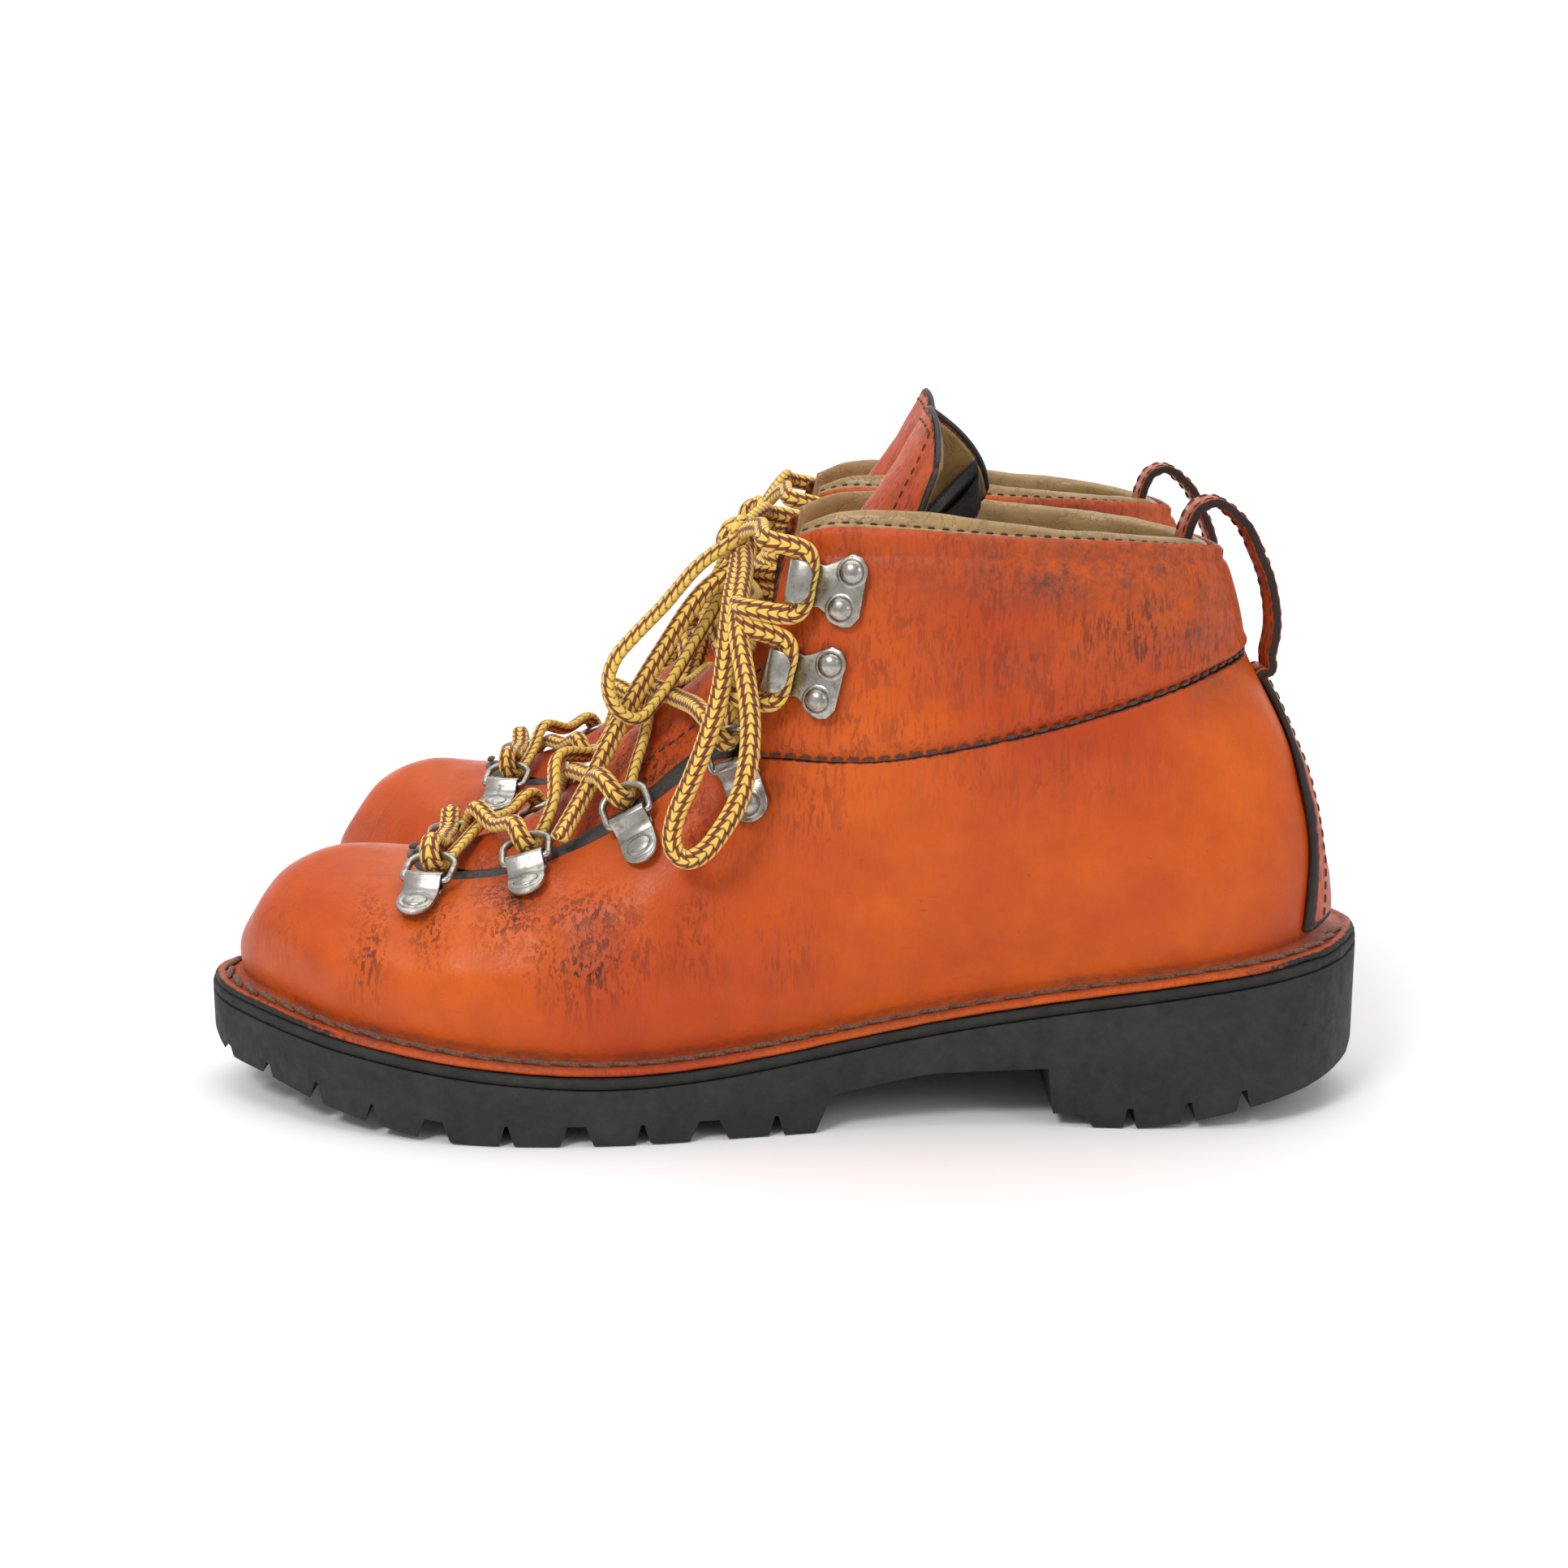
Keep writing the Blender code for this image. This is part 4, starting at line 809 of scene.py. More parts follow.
def smooth_leather(name, deep, bright, rough_low, rough_high):
    """Plain leather for the linings, edges and strips."""
    s = Shade(name)
    tone = s.spread(s.noise(60, 5, 0.65), 0.3, 0.7)
    colour = s.mix(tone, deep, bright)
    wrinkles = s.lines(s.noise(170, 4, 0.6, 0.8), 0.5, 0.02)
    # painted shade: the wrinkle lines, sunk in by the bump below, are painted darker
    colour = s.mix(s.math("MULTIPLY", wrinkles, 0.35), colour, tuple(0.4 * c for c in deep))
    rough = s.spread(s.noise(220, 4), 0.3, 0.7, rough_low, rough_high)
    normal = s.bump(s.cells(900), 0.1, 0.4)
    normal = s.bump(wrinkles, -0.15, 0.6, normal)
    normal = s.bump(s.noise(300, 4), 0.2, 0.4, normal)
    return s.finish(colour, rough, normal)


def thread(name, deep, bright):
    s = Shade(name, roughness=0.75, sheen=0.2)
    twist = s.noise(1800, 3, 0.6, 0.4, s.stretched(1, 1, 0.5, 0.6))
    colour = s.mix(s.spread(twist, 0.35, 0.65), deep, bright)
    return s.finish(colour, 0.75, s.bump(twist, 0.25, 0.8))


def rubber(name, deep, dusty, rough_edge=0.0):
    """Charcoal rubber with dust, scuffs and a fine moulded grain."""
    s = Shade(name, roughness=0.7, specular=0.35)
    dust = s.spread(s.noise(75, 6, 0.72), 0.42, 0.75)
    colour = s.mix(dust, deep, dusty)
    scuffs = s.spread(s.noise(260, 5, 0.8, 0.0, s.stretched(0.5, 1, 1.6)), 0.68, 0.78)
    colour = s.mix(s.math("MULTIPLY", scuffs, 0.35), colour, tuple(2.4 * c for c in dusty))
    rough = s.spread(s.noise(330, 4), 0.3, 0.7, 0.62, 0.85)
    normal = s.bump(s.noise(1300, 4, 0.7), 0.14 + rough_edge, 0.6)
    normal = s.bump(s.noise(130, 3), 0.3, 0.3, normal)
    return s.finish(colour, rough, normal)


def nickel(name):
    """Plated steel, dulled and spotted with brown."""
    s = Shade(name, roughness=0.3, metallic=1.0)
    patina = s.spread(s.noise(420, 5, 0.7), 0.47, 0.7)
    colour = s.mix(patina, (0.40, 0.385, 0.35), (0.17, 0.15, 0.12))
    scratches = s.spread(s.noise(900, 3, 0.6, 0.0, s.stretched(0.25, 1, 1, 0.9)), 0.55, 0.75)
    rough = s.math("ADD", s.spread(patina, 0, 1, 0.26, 0.5), s.math("MULTIPLY", scratches, 0.12))
    normal = s.bump(s.noise(700, 3), 0.06, 0.5)
    return s.finish(colour, rough, normal)


def felt(name, deep, bright):
    s = Shade(name, roughness=0.95, specular=0.2, sheen=0.35)
    fuzz = s.noise(1500, 5, 0.75, 0.8)
    colour = s.mix(s.spread(fuzz, 0.35, 0.65), deep, bright)
    return s.finish(colour, 0.95, s.bump(fuzz, 0.4, 0.8))


PLAIT = 2.4                    # millimetres of lace from one plait to the next


def braid(name):
    """Yellow braid with two brown sawtooth stripes on each face, with painted shade in the grooves
    between the plaits; UVs are in turns and millimetres.
    """
    s = Shade(name, roughness=0.75, specular=0.3, sheen=0.15)
    uv = s.tree.nodes.new("ShaderNodeTexCoord").outputs["UV"]
    split = s.tree.nodes.new("ShaderNodeSeparateXYZ")
    s.join(uv, split.inputs["Vector"])
    around, length = split.outputs["X"], split.outputs["Y"]
    off_edge = s.math("PINGPONG", around, 0.25)
    steps = s.math("ADD", s.math("DIVIDE", length, PLAIT), s.math("MULTIPLY", off_edge, 3.0))
    tooth = s.math("FRACT", steps)
    stripe = s.math("ADD", off_edge, s.math("MULTIPLY", s.math("SUBTRACT", tooth, 0.5), 0.05))
    stripes = s.spread(s.lines(stripe, 0.165, 0.06), 0.28, 0.42)
    groove = s.spread(s.math("PINGPONG", steps, 0.5), 0.0, 0.16)
    rims = s.spread(s.math("PINGPONG", s.math("DIVIDE", length, PLAIT), 0.5), 0.0, 0.16)
    edge = s.spread(off_edge, 0.03, 0.06)
    plaits = s.math("ADD", s.math("MULTIPLY", groove, edge),
                    s.math("MULTIPLY", rims, s.math("SUBTRACT", 1.0, edge)))
    wool = s.noise(1700, 4, 0.7)
    # painted shade: the yarn colour goes dark in the grooves between plaits and bright on the plaits
    yellow = s.mix(plaits, (0.24, 0.12, 0.02), (0.80, 0.53, 0.10))
    brown = s.mix(plaits, (0.045, 0.010, 0.006), (0.19, 0.042, 0.018))
    colour = s.mix(stripes, yellow, brown)
    colour = s.mix(s.math("MULTIPLY", s.spread(wool, 0.5, 0.75), 0.25), colour, (0.28, 0.14, 0.05))
    normal = s.bump(plaits, 0.35, 0.8)
    normal = s.bump(wool, 0.12, 0.6, normal)
    return s.finish(colour, 0.78, normal)


def make_finishes():
    """Every material with the record's slot that it belongs to."""
    black = smooth_leather("worn_black_edge", (0.012, 0.010, 0.009), (0.035, 0.03, 0.028), 0.4, 0.6)
    return {
        "leather": (creased_leather("worn_orange_leather", (0.43, 0.048, 0.006), (0.60, 0.102, 0.006)),
                    "orange_leather"),
        "black": (black, "orange_leather"),
        "lining": (smooth_leather("tan_lining_leather", (0.25, 0.145, 0.05), (0.38, 0.235, 0.09),
                                  0.28, 0.42), "tan_leather"),
        # painted shade: a darker copy of the tan lining leather, for the lining deep inside the boot
        "shaded_tan_lining": (smooth_leather("tan_lining_painted_shade", (0.12, 0.065, 0.022), (0.22, 0.13, 0.05),
                                    0.4, 0.6), "tan_leather"),
        "stitch": (thread("brown_thread", (0.07, 0.028, 0.014), (0.19, 0.085, 0.04)), "orange_leather"),
        "dark_stitch": (thread("dark_thread", (0.03, 0.012, 0.01), (0.09, 0.03, 0.02)),
                        "orange_leather"),
        "rubber": (rubber("charcoal_rubber", (0.017, 0.0175, 0.016), (0.031, 0.032, 0.028)),
                   "black_rubber"),
        "midsole": (rubber("black_midsole", (0.016, 0.016, 0.015), (0.036, 0.034, 0.030), 0.5),
                    "midsole_rubber"),
        "felt": (felt("black_felt", (0.008, 0.008, 0.009), (0.03, 0.03, 0.033)), "footbed_felt"),
        "footbed": (felt("brown_footbed", (0.05, 0.035, 0.022), (0.12, 0.09, 0.06)), "footbed_felt"),
        "metal": (nickel("dulled_nickel"), "nickel_steel"),
        "lace": (braid("yellow_brown_braid"), "yellow_lace"),
    }


# ---------------------------------------------------------------- sole

CENTRE = 0.44                  # share of the half width that the middle lugs take
CHANNEL = 0.54                 # and where the side lugs begin


def middle_line():
    """The underside along the middle, with its grooves half a lug away from those of the sides."""
    points = [(TOE_X + 0.4, ground(TOE_X))]
    sides = FOREFOOT_GROOVES
    for before, after in zip(sides[1:-1], sides[2:]):
        points += groove((before[0] + after[0]) / 2, 6, 3.6, LUG_DEPTH)
    points += [(FOREFOOT_END, 0), *WAIST_LINE, *HEEL_BREAST]
    for before, after in zip(HEEL_GROOVES[:-1], HEEL_GROOVES[1:]):
        points += groove((before[0] + after[0]) / 2, 4, 2, LUG_DEPTH)
    return points + [(x, ground(x)) for x, _ in HEEL_WEAR[3:]]


def make_outsole(boot, finish):
    """The rubber sole: a section across it at each place along it, lugs and grooves included."""
    side_line, centre_line = np.array(tread_line()), np.array(middle_line())
    ends = TOE_X + 0.4 + np.array([0, 0.5, 1.2, 2.2, 3.5, 5])
    heel = 151 - np.array([0, 0.6, 1.4, 2.4, 3.8, 5.5])
    places = np.concatenate([side_line[:, 0], centre_line[:, 0], ends, heel, np.arange(-148, 150, 2.5)])
    places = np.unique(np.round(places, 2))
    places = places[np.concatenate([[True], np.diff(places) > 0.12])]
    lugs = (places < FOREFOOT_END - 4) & (places > -138) | (places > 80) & (places < 124)
    channel = np.array([ground(x) for x in places]) + LUG_DEPTH
    edge_z = np.interp(places, *side_line.T)
    middle_z = np.interp(places, *centre_line.T)
    channel_z = np.where(lugs, np.maximum(channel, edge_z), edge_z)
    shares = np.array([-1, -0.85, -0.7, -CHANNEL, -CHANNEL + 0.03, -CENTRE - 0.03, -CENTRE, -0.2])
    shares = np.concatenate([shares, [0], -shares[::-1]])
    edges = [edge_at(x, 0.0) for x in places]
    loops = []
    for i, x in enumerate(places):
        outer, inner = edges[i]
        middle, half = (outer + inner) / 2, (outer - inner) / 2
        low = []
        for share in shares:
            away = abs(share)
            if away >= CHANNEL:
                z = edge_z[i]
            elif away > CENTRE:
                z = channel_z[i]
            else:
                z = middle_z[i]
            low.append((x, middle + share * half, z))
        top = height(RUBBER_TOP, x)[0] - MIDSOLE - GAP
        loops.append([*low, (x, outer, top), (x, middle, top), (x, inner, top)])
    mesh = solids_mesh("outsole", [boot.world(loops)], flat=32)
    piece = show(boot, "outsole_rubber", mesh, finish)
    bevelled(piece, 0.35, 2)
    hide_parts(boot.node("outsole"))


def make_midsole(boot, finish):
    """The thin rubber band between the outsole and the flange."""
    turns = np.linspace(-pi, pi, 360, endpoint=False)
    rough = bumps(np.stack([np.cos(turns) * 90, np.sin(turns) * 90, 0 * turns], -1), 3.0, 5.0)
    outer = outline(turns, 0.35) * (1 + 0.002 * rough[:, None])
    inner = outline(turns, 12)
    top = height(RUBBER_TOP, outer[:, 0])
    loops = []
    for i in range(len(turns)):
        low, high = top[i] - MIDSOLE + 0.1, top[i] - 0.05 + 0.15 * rough[i]
        loops.append([(*outer[i], low), (*(outer[i] * 1.001), (low + high) / 2), (*outer[i], high),
                      (*inner[i], high - 0.4), (*inner[i], low)])
    piece = show(boot, "midsole_band", solids_mesh("midsole", [boot.world(loops)], True), finish)
    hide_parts(boot.node("midsole"))


# ---------------------------------------------------------------- upper, cuff and linings

# Patches of fine creases: place, height, half length, half height, strength
CREASES = [(-48, 48, 13, 12, 1.0), (-68, 56, 9, 7, 0.8), (-104, 45, 5, 12, 0.6),
           (-87, 52, 6, 7, 0.75), (-20, 52, 8, 12, 0.45), (2, 48, 8, 10, 0.3), (-22, 78, 14, 12, 0.4),
           (6, 84, 16, 12, 0.35), (60, 92, 26, 8, 0.25), (-128, 46, 7, 6, 0.3)]
# Broad folds that the creases sit on: place, height, half length, half height, depth
FOLDS = [(-50, 50, 9, 14, -0.9), (-60, 47, 4, 12, 0.5), (-33, 52, 6, 14, 0.7), (-92, 50, 6, 9, -0.6),
         (-80, 52, 5, 9, 0.45), (-105, 46, 6, 12, -0.4), (-12, 70, 7, 16, -0.7),
         (2, 74, 6, 18, 0.6), (20, 84, 8, 14, -0.5), (85, 84, 22, 6, -0.6), (85, 95, 20, 5, 0.6)]
# Patches of grey grime: place, height, half length, half height, strength
SMEARS = [(68, 141, 38, 9, 1.0), (98, 128, 18, 12, 0.75), (60, 120, 26, 8, 0.4), (40, 141, 18, 5, 0.6),
          (108, 112, 10, 8, 0.5)]


def folds(points):
    """How far the leather stands out in its broad folds."""
    total = np.zeros(points.shape[:-1])
    for x, z, long, high, depth in FOLDS:
        lean = (points[..., 0] - x) + 0.25 * (points[..., 2] - z)
        total += depth * np.exp(-(lean / long) ** 2 - ((points[..., 2] - z) / high) ** 2)
    return total


def make_upper(boot, finish):
    """The upper with its flange turned out over the sole: flange, outside, rim, then inside."""
    turns = np.linspace(-pi, pi, 420, endpoint=False)
    heights = np.concatenate([np.linspace(0.012, 0.12, 9), np.linspace(0.14, 0.985, 62)])
    skin = upper_points(turns, heights)
    out = -inwards(skin, True)
    flex = blobs(skin, CREASES)
    swell = folds(skin) + 0.35 * bumps(skin, 26, 2.0) + 0.22 * flex * bumps(
        skin * np.array([1, 1, 0.35]), 3.2, 7.0)
    fade = np.clip((heights - 0.02) / 0.08, 0, 1) * np.clip((1 - heights) / 0.05, 0, 1)
    skin += (swell * fade)[..., None] * out
    base = height(RUBBER_TOP, outline(turns, WELT_INSET)[:, 0])
    lip_wave = 0.25 * bumps(np.stack([np.cos(turns) * 120, np.sin(turns) * 120, 0 * turns], -1), 9, 1.0)
    profile = [(9.3, 0.3), (1.7, 0.3), (1.0, 0.65), (0.7, 1.3), (1.0, 1.95), (1.7, 2.35), (2.7, 2.45),
               (3.4, 2.05), (4.5, 1.95), (5.3, 2.1)]
    foot = [np.concatenate([outline(turns, inset) + (lip_wave[:, None] if inset < 3 else 0),
                            (base + z)[:, None]], 1) for inset, z in profile]
    edge = skin[:, -1]
    picks = [-1, -8, -20, -35, -50, -62]
    inner = skin[:, picks] - LEATHER * out[:, picks]
    up = unit(skin[:, -1] - skin[:, -4])
    rim = [edge + rise * up - inset * out[:, -1] for rise, inset in ((0.7, 0.35), (0.95, 1.15),
                                                                     (0.7, 1.95))]
    loops = np.stack([*foot, *skin.transpose(1, 0, 2), *rim, *inner.transpose(1, 0, 2)], 1)
    worn = np.zeros(loops.shape[:2])
    toe_heel = np.clip(np.abs(loops[:, 3, 0] - 5) / 40 - 2.4, 0, 1)
    worn[:, 1:5] = 0.35 + 0.6 * toe_heel[:, None]
    worn[:, 5:8] = 0.55 * toe_heel[:, None]
    first, last = len(profile), len(profile) + len(heights)
    worn[:, last:] = 0.75
    worn[:, last - 2:last] = 0.45
    # crease strength per point: drives the crease relief and the painted shade in the creases
    creases_and_shade = np.zeros(loops.shape[:2])
    creases_and_shade[:, first:last] = flex
    creases_and_shade[:, :first] = 0.15
    grime = 0.9 * blobs(loops, SMEARS)
    grime[:, 4:first + 3] = 0.55
    grime = np.maximum(grime, 0.55 * blobs(loops, [(-48, 50, 9, 9, 1), (-66, 56, 8, 6, 0.9),
                                                   (-140, 42, 9, 9, 0.5), (138, 40, 8, 6, 1)]))
    mesh = solids_mesh("upper", [boot.world(loops)], True,
                       {"flex": creases_and_shade, "worn": worn, "grime": grime})
    piece = show(boot, "upper_leather", mesh, finish["leather"])
    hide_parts(boot.node("upper"))


def make_flange_stitches(boot, finish):
    """The slanted lock stitches that hold the flange to the sole."""
    turns = np.linspace(-pi + 0.12, pi - 0.12, 900)
    path = outline(turns, 4.6)
    z = height(RUBBER_TOP, path[:, 0]) + 2.15
    rows = stitch_row(np.concatenate([path, z[:, None]], 1), UP, 7.2, 8.6, 0.7,
                      0.2, 0.5)
    show_rows(boot, "flange_stitches", rows, finish)


def make_cuff(boot, finish):
    """The ankle band of leather, with its rolled top and the stitched seam along its foot."""
    turns = cuff_turns(240)
    heights = np.linspace(0.0, 0.97, 52)
    skin = cuff_points(turns, heights, 0.2)
    out = -inwards(skin, False)
    ends = np.minimum(np.arange(240), np.arange(240)[::-1])
    soft = np.clip(ends / 10, 0, 1)[:, None]
    seam = np.exp(-((heights - 0.015) / 0.03) ** 2)
    puff = np.exp(-((heights - 0.11) / 0.06) ** 2)
    roll = np.exp(-((heights - 0.95) / 0.035) ** 2) - 0.8 * np.exp(-((heights - 0.87) / 0.03) ** 2)
    swell = 0.75 * puff - 1.0 * seam + 0.55 * roll + 0.35 * bumps(skin, 17, 4.0)
    bowing = 0.5 * np.exp(-(((skin[..., 0] - 18) / 9) ** 2 + ((skin[..., 2] - 125) / 26) ** 2))
    skin += (soft * (swell + bowing))[..., None] * out
    up = unit(skin[:, -1] - skin[:, -4])
    rim = [skin[:, -1] + rise * up - inset * out[:, -1] for rise, inset in ((0.8, 0.3), (1.1, 1.1),
                                                                            (0.8, 1.9))]
    picks = [-1, -14, -27, -40, 0]
    inner = (skin[:, picks] - LEATHER * out[:, picks]).transpose(1, 0, 2)
    loops = np.stack([*skin.transpose(1, 0, 2), *rim, *inner], 1)
    flat = loops - 0.5 * LEATHER * np.concatenate([out, *[out[:, -1:]] * 3, -out[:, picks]], 1)
    loops = np.where(ends[:, None, None] < 1, flat * 0.9 + loops * 0.1, loops)
    grime = np.maximum(blobs(loops, SMEARS), 0.35 * blobs(loops, [(100, 135, 14, 14, 1)]))
    pebble = np.clip((loops[..., 0] - 45) / 40, 0, 1) * 0.9
    worn = np.zeros(loops.shape[:2])
    worn[:, 52:] = 0.55
    worn[:2] = 0.7
    worn[-2:] = 0.7
    flex = 0.25 + 0.35 * blobs(loops, [(0, 112, 12, 8, 1), (90, 125, 22, 9, 1)])
    mesh = solids_mesh("cuff", [boot.world(loops)], False,
                       {"grime": grime, "pebble": pebble, "worn": worn, "flex": flex})
    piece = show(boot, "cuff_leather", mesh, finish["leather"])
    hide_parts(boot.node("cuff"))
    rows = stitch_row(cuff_points(turns[4:-4], [0.012], 0.2)[:, 0] - 0.45 * out[4:-4, 1], out[4:-4, 1],
                      3.9, 3.1, 0.42)
    show_rows(boot, "cuff_seam_stitches", rows, finish["dark_stitch"])


def make_topline(boot, finish):
    """The tan piping over the cuff's rolled edge, with its row of dark stitches."""
    turns = cuff_turns(260, 0.015)
    skin = cuff_points(turns, [0.9, 1.0])
    out = -inwards(skin, False)[:, 1]
    path = skin[:, 1] - 2.6 * out - 0.5 * UP
    piping = sweep(path, 1.6, 0.95, 10, UP, rounded_ends(len(path), 300, 2))
    show_rows(boot, "topline_piping", [piping], finish["lining"])
    rows = stitch_row(path + 0.5 * out + 0.85 * UP, UP, 3.5, 1.9, 0.34)
    show_rows(boot, "topline_stitches", rows, finish["dark_stitch"])


PAD = 5.6                      # thickness of the collar's padding
ROLL = 1.5                     # and its rise over the cuff's edge


def make_collar_padding(boot, finish):
    """The padded tan collar, fullest at its front corners."""
    turns = cuff_turns(220, 0.02)
    heights = np.linspace(0.06, 0.99, 14)
    outside = cuff_points(turns, heights)
    normals = inwards(outside, False)
    normals[:, :, 2] = 0
    normals = unit(normals)
    ends = np.minimum(np.arange(len(turns)), np.arange(len(turns))[::-1])
    taper = np.clip(0.3 + 0.7 * np.sqrt(np.clip(ends / 24, 0, 1)), 0, 1)
    corner = np.exp(-((ends - 22) / 20.0) ** 2)
    outer = outside + 2.9 * normals
    lumps = 0.5 * bumps(outside, 12, 9.0)
    belly = 0.75 + 0.4 * np.sin(np.linspace(0, pi, len(heights)))
    inner = outer + ((PAD + lumps) * taper[:, None] * belly)[..., None] * normals
    crest = []
    for share in (0.12, 0.32, 0.5, 0.68, 0.88):
        rise = (ROLL + 2.4 * corner + 0.6 * lumps[:, -1]) * np.sin(share * pi) ** 0.7
        crest.append(outer[:, -1] + share * (inner[:, -1] - outer[:, -1]) + rise[:, None]
                     * UP)
    loops = np.stack([*outer.transpose(1, 0, 2), *crest, *inner[:, ::-1].transpose(1, 0, 2)], 1)
    piece = show(boot, "collar_padding", solids_mesh("padding", [boot.world(loops)]), finish["lining"])
    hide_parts(boot.node("lining"))


def make_inner_lining(boot, finish):
    """Tan lining leather inside the upper, from the footbed to the padding, painted darker as shade."""
    turns = np.linspace(-pi, pi, 160, endpoint=False)
    skin = upper_points(turns, np.linspace(0.16, 0.99, 20))
    into = inwards(skin, True)
    near = skin + 2.6 * into
    far = skin + 3.3 * into
    loops = np.stack([*near.transpose(1, 0, 2), *far[:, ::-1].transpose(1, 0, 2)], 1)
    show(boot, "inner_lining", solids_mesh("inner", [boot.world(loops)], True), finish)


def make_footbed(boot, frame, finish):
    """The CAD footbed shows as it is, with a felt material."""
    node = frame["nodes"][boot.node("footbed")]
    for slot in node.material_slots:
        slot.material = finish[0]


# ---------------------------------------------------------------- tongue, gussets, backstay, loop

def make_tongue(boot, finish):
    """Orange leather outside, tan leather inside, black along the cut edges."""
    steps = np.linspace(0, 1, 150)
    across = np.linspace(-1, 1, 61)
    skin = np.stack([tongue_points(boot.name, steps * (1 - 0.07 * abs(c) ** 4), c) for c in across], 1)
    into = -inwards(skin, False)
    skin -= (0.45 * bumps(skin, 15, 3.0) * np.clip(steps * 6, 0, 1)[:, None])[..., None] * into
    back = skin + 1.5 * into
    front = np.stack([*skin.transpose(1, 0, 2), *back[:, ::-1].transpose(1, 0, 2)], 1)
    flex = 0.3 + 0.5 * blobs(front, [(-50, 90, 25, 14, 1), (20, 165, 10, 10, 0.3)])
    worn = np.zeros(front.shape[:2])
    worn[:, [0, 60, 61, 121]] = 0.8
    worn[-2:] = 0.7
    mesh = solids_mesh("tongue", [boot.world(front)], False, {"flex": flex, "worn": worn})
    piece = show(boot, "tongue_leather", mesh, finish["leather"])
    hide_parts(boot.node("tongue"))
    near, far = skin + 1.6 * into, skin + 3.0 * into
    inset = slice(1, -1)
    rows = np.stack([*near[:, inset].transpose(1, 0, 2), *far[:, inset][:, ::-1].transpose(1, 0, 2)], 1)
    show_rows(boot, "tongue_lining", [rows[:-1]], finish["lining"])
    edges = []
    for c in (0, -1):
        path = skin[30:, c] + 0.9 * into[30:, c]
        edges.append(sweep(path, 1.0, 0.75, 8, into[30:, c], rounded_ends(120, 120, 2)))
    edges.append(sweep(skin[-1] + 0.9 * into[-1], 1.0, 0.75, 8, into[-1], rounded_ends(61, 60, 2)))
    show_rows(boot, "tongue_edges", edges, finish["black"])
    rows = []
    for c in (-0.62, 0.62):
        k = int(round((c + 1) * 30))
        rows += stitch_row(skin[52:147, k], -into[52:147, k], 3.2, 2.1, 0.28)
    rows += stitch_row(skin[146, 12:49], -into[146, 12:49], 3.2, 2.1, 0.28)
    show_rows(boot, "tongue_stitches", rows, finish["dark_stitch"])
    top = slice(118, 149)
    back = into[top, 9]
    base = skin[top, 9] + 3.2 * back
    beyond = unit(skin[top, 0] - skin[top, 6])
    swing = 1.0 if boot.name == "left" else 0.25
    round_off = np.sin(np.linspace(0, pi, 31)) ** 0.35
    near = np.stack([base + (reach * (10.0 + 9.0 * swing * round_off))[:, None] * beyond
                     + 0.4 * sin(5 * reach) * back for reach in np.linspace(0, 1, 15)], 0)
    far = near + 0.9 * back
    show_rows(boot, "tongue_felt", [np.concatenate([near, far[::-1]])], finish["felt"])


def make_gusset(boot, finish):
    """Black rolled strips along the throat, from cuff to cuff round its front end."""
    turns = np.linspace(-FRONT_TURN, FRONT_TURN, 260)
    skin = upper_points(turns, [0.95, 1.0])
    beyond = unit(skin[:, 1] - skin[:, 0])
    out = -inwards(skin, False)[:, 1]
    path = skin[:, 1] + 1.9 * beyond - 0.9 * out
    path += 0.3 * bumps(path, 5, 6.0)[:, None] * out
    strip = sweep(path, 2.9, 1.5, 14, out, rounded_ends(len(path), 300, 3))
    show_rows(boot, "throat_edging", [strip], finish["black"])
    bar = sweep(along([skin[128, 1] + 1.2 * out[128] + (0.5, -2.4, 0.4),
                       skin[130, 1] + 1.5 * out[130] + (0.5, 0, 0.6),
                       skin[132, 1] + 1.2 * out[132] + (0.5, 2.4, 0.4)], 12), 1.1, 0.6, 8,
                UP, rounded_ends(12, 5, 1))
    show_rows(boot, "throat_bar_tack", [bar], finish["dark_stitch"])


def make_backstay(boot, finish):
    """The strip over the heel seam, with black worn edges and two rows of stitches."""
    shares = np.linspace(0.055, 0.865, 90)
    across = np.linspace(-1, 1, 31)
    skin = np.zeros((len(shares), len(across), 3))
    for i, share in enumerate(shares):
        half = np.interp(share, [0.05, 0.25, 0.52, 0.72, 0.87], [0.40, 0.36, 0.3, 0.2, 0.14])
        skin[i] = upper_points(wrap(pi + across * half), [share])[:, 0]
    out = unit(np.cross(np.gradient(skin, axis=1), np.gradient(skin, axis=0)))
    out *= np.sign(out[:, 15, 0])[:, None, None]
    lift = 2.2 - 0.7 * np.abs(across) ** 8 + 0.25 * bumps(skin, 9, 8.0)
    top = skin + lift[..., None] * out
    rows = np.stack([*(skin + 0.5 * out).transpose(1, 0, 2), *top[:, ::-1].transpose(1, 0, 2)], 1)
    worn = np.zeros(rows.shape[:2])
    worn[:, [0, 30, 31, 32, 60, 61]] = 1.0
    worn[:, [1, 29, 33, 59]] = 0.6
    worn[:3] = 0.8
    flex = np.full(rows.shape[:2], 0.35)
    mesh = solids_mesh("backstay", [boot.world(rows)], False, {"worn": worn, "flex": flex})
    piece = show(boot, "backstay_strip", mesh, finish["leather"])
    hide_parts(boot.node("backstay"))
    stitches = []
    for k in (5, 25):
        stitches += stitch_row(top[2:, k], out[2:, k], 3.4, 2.4, 0.3)
    show_rows(boot, "backstay_stitches", stitches, finish["dark_stitch"])


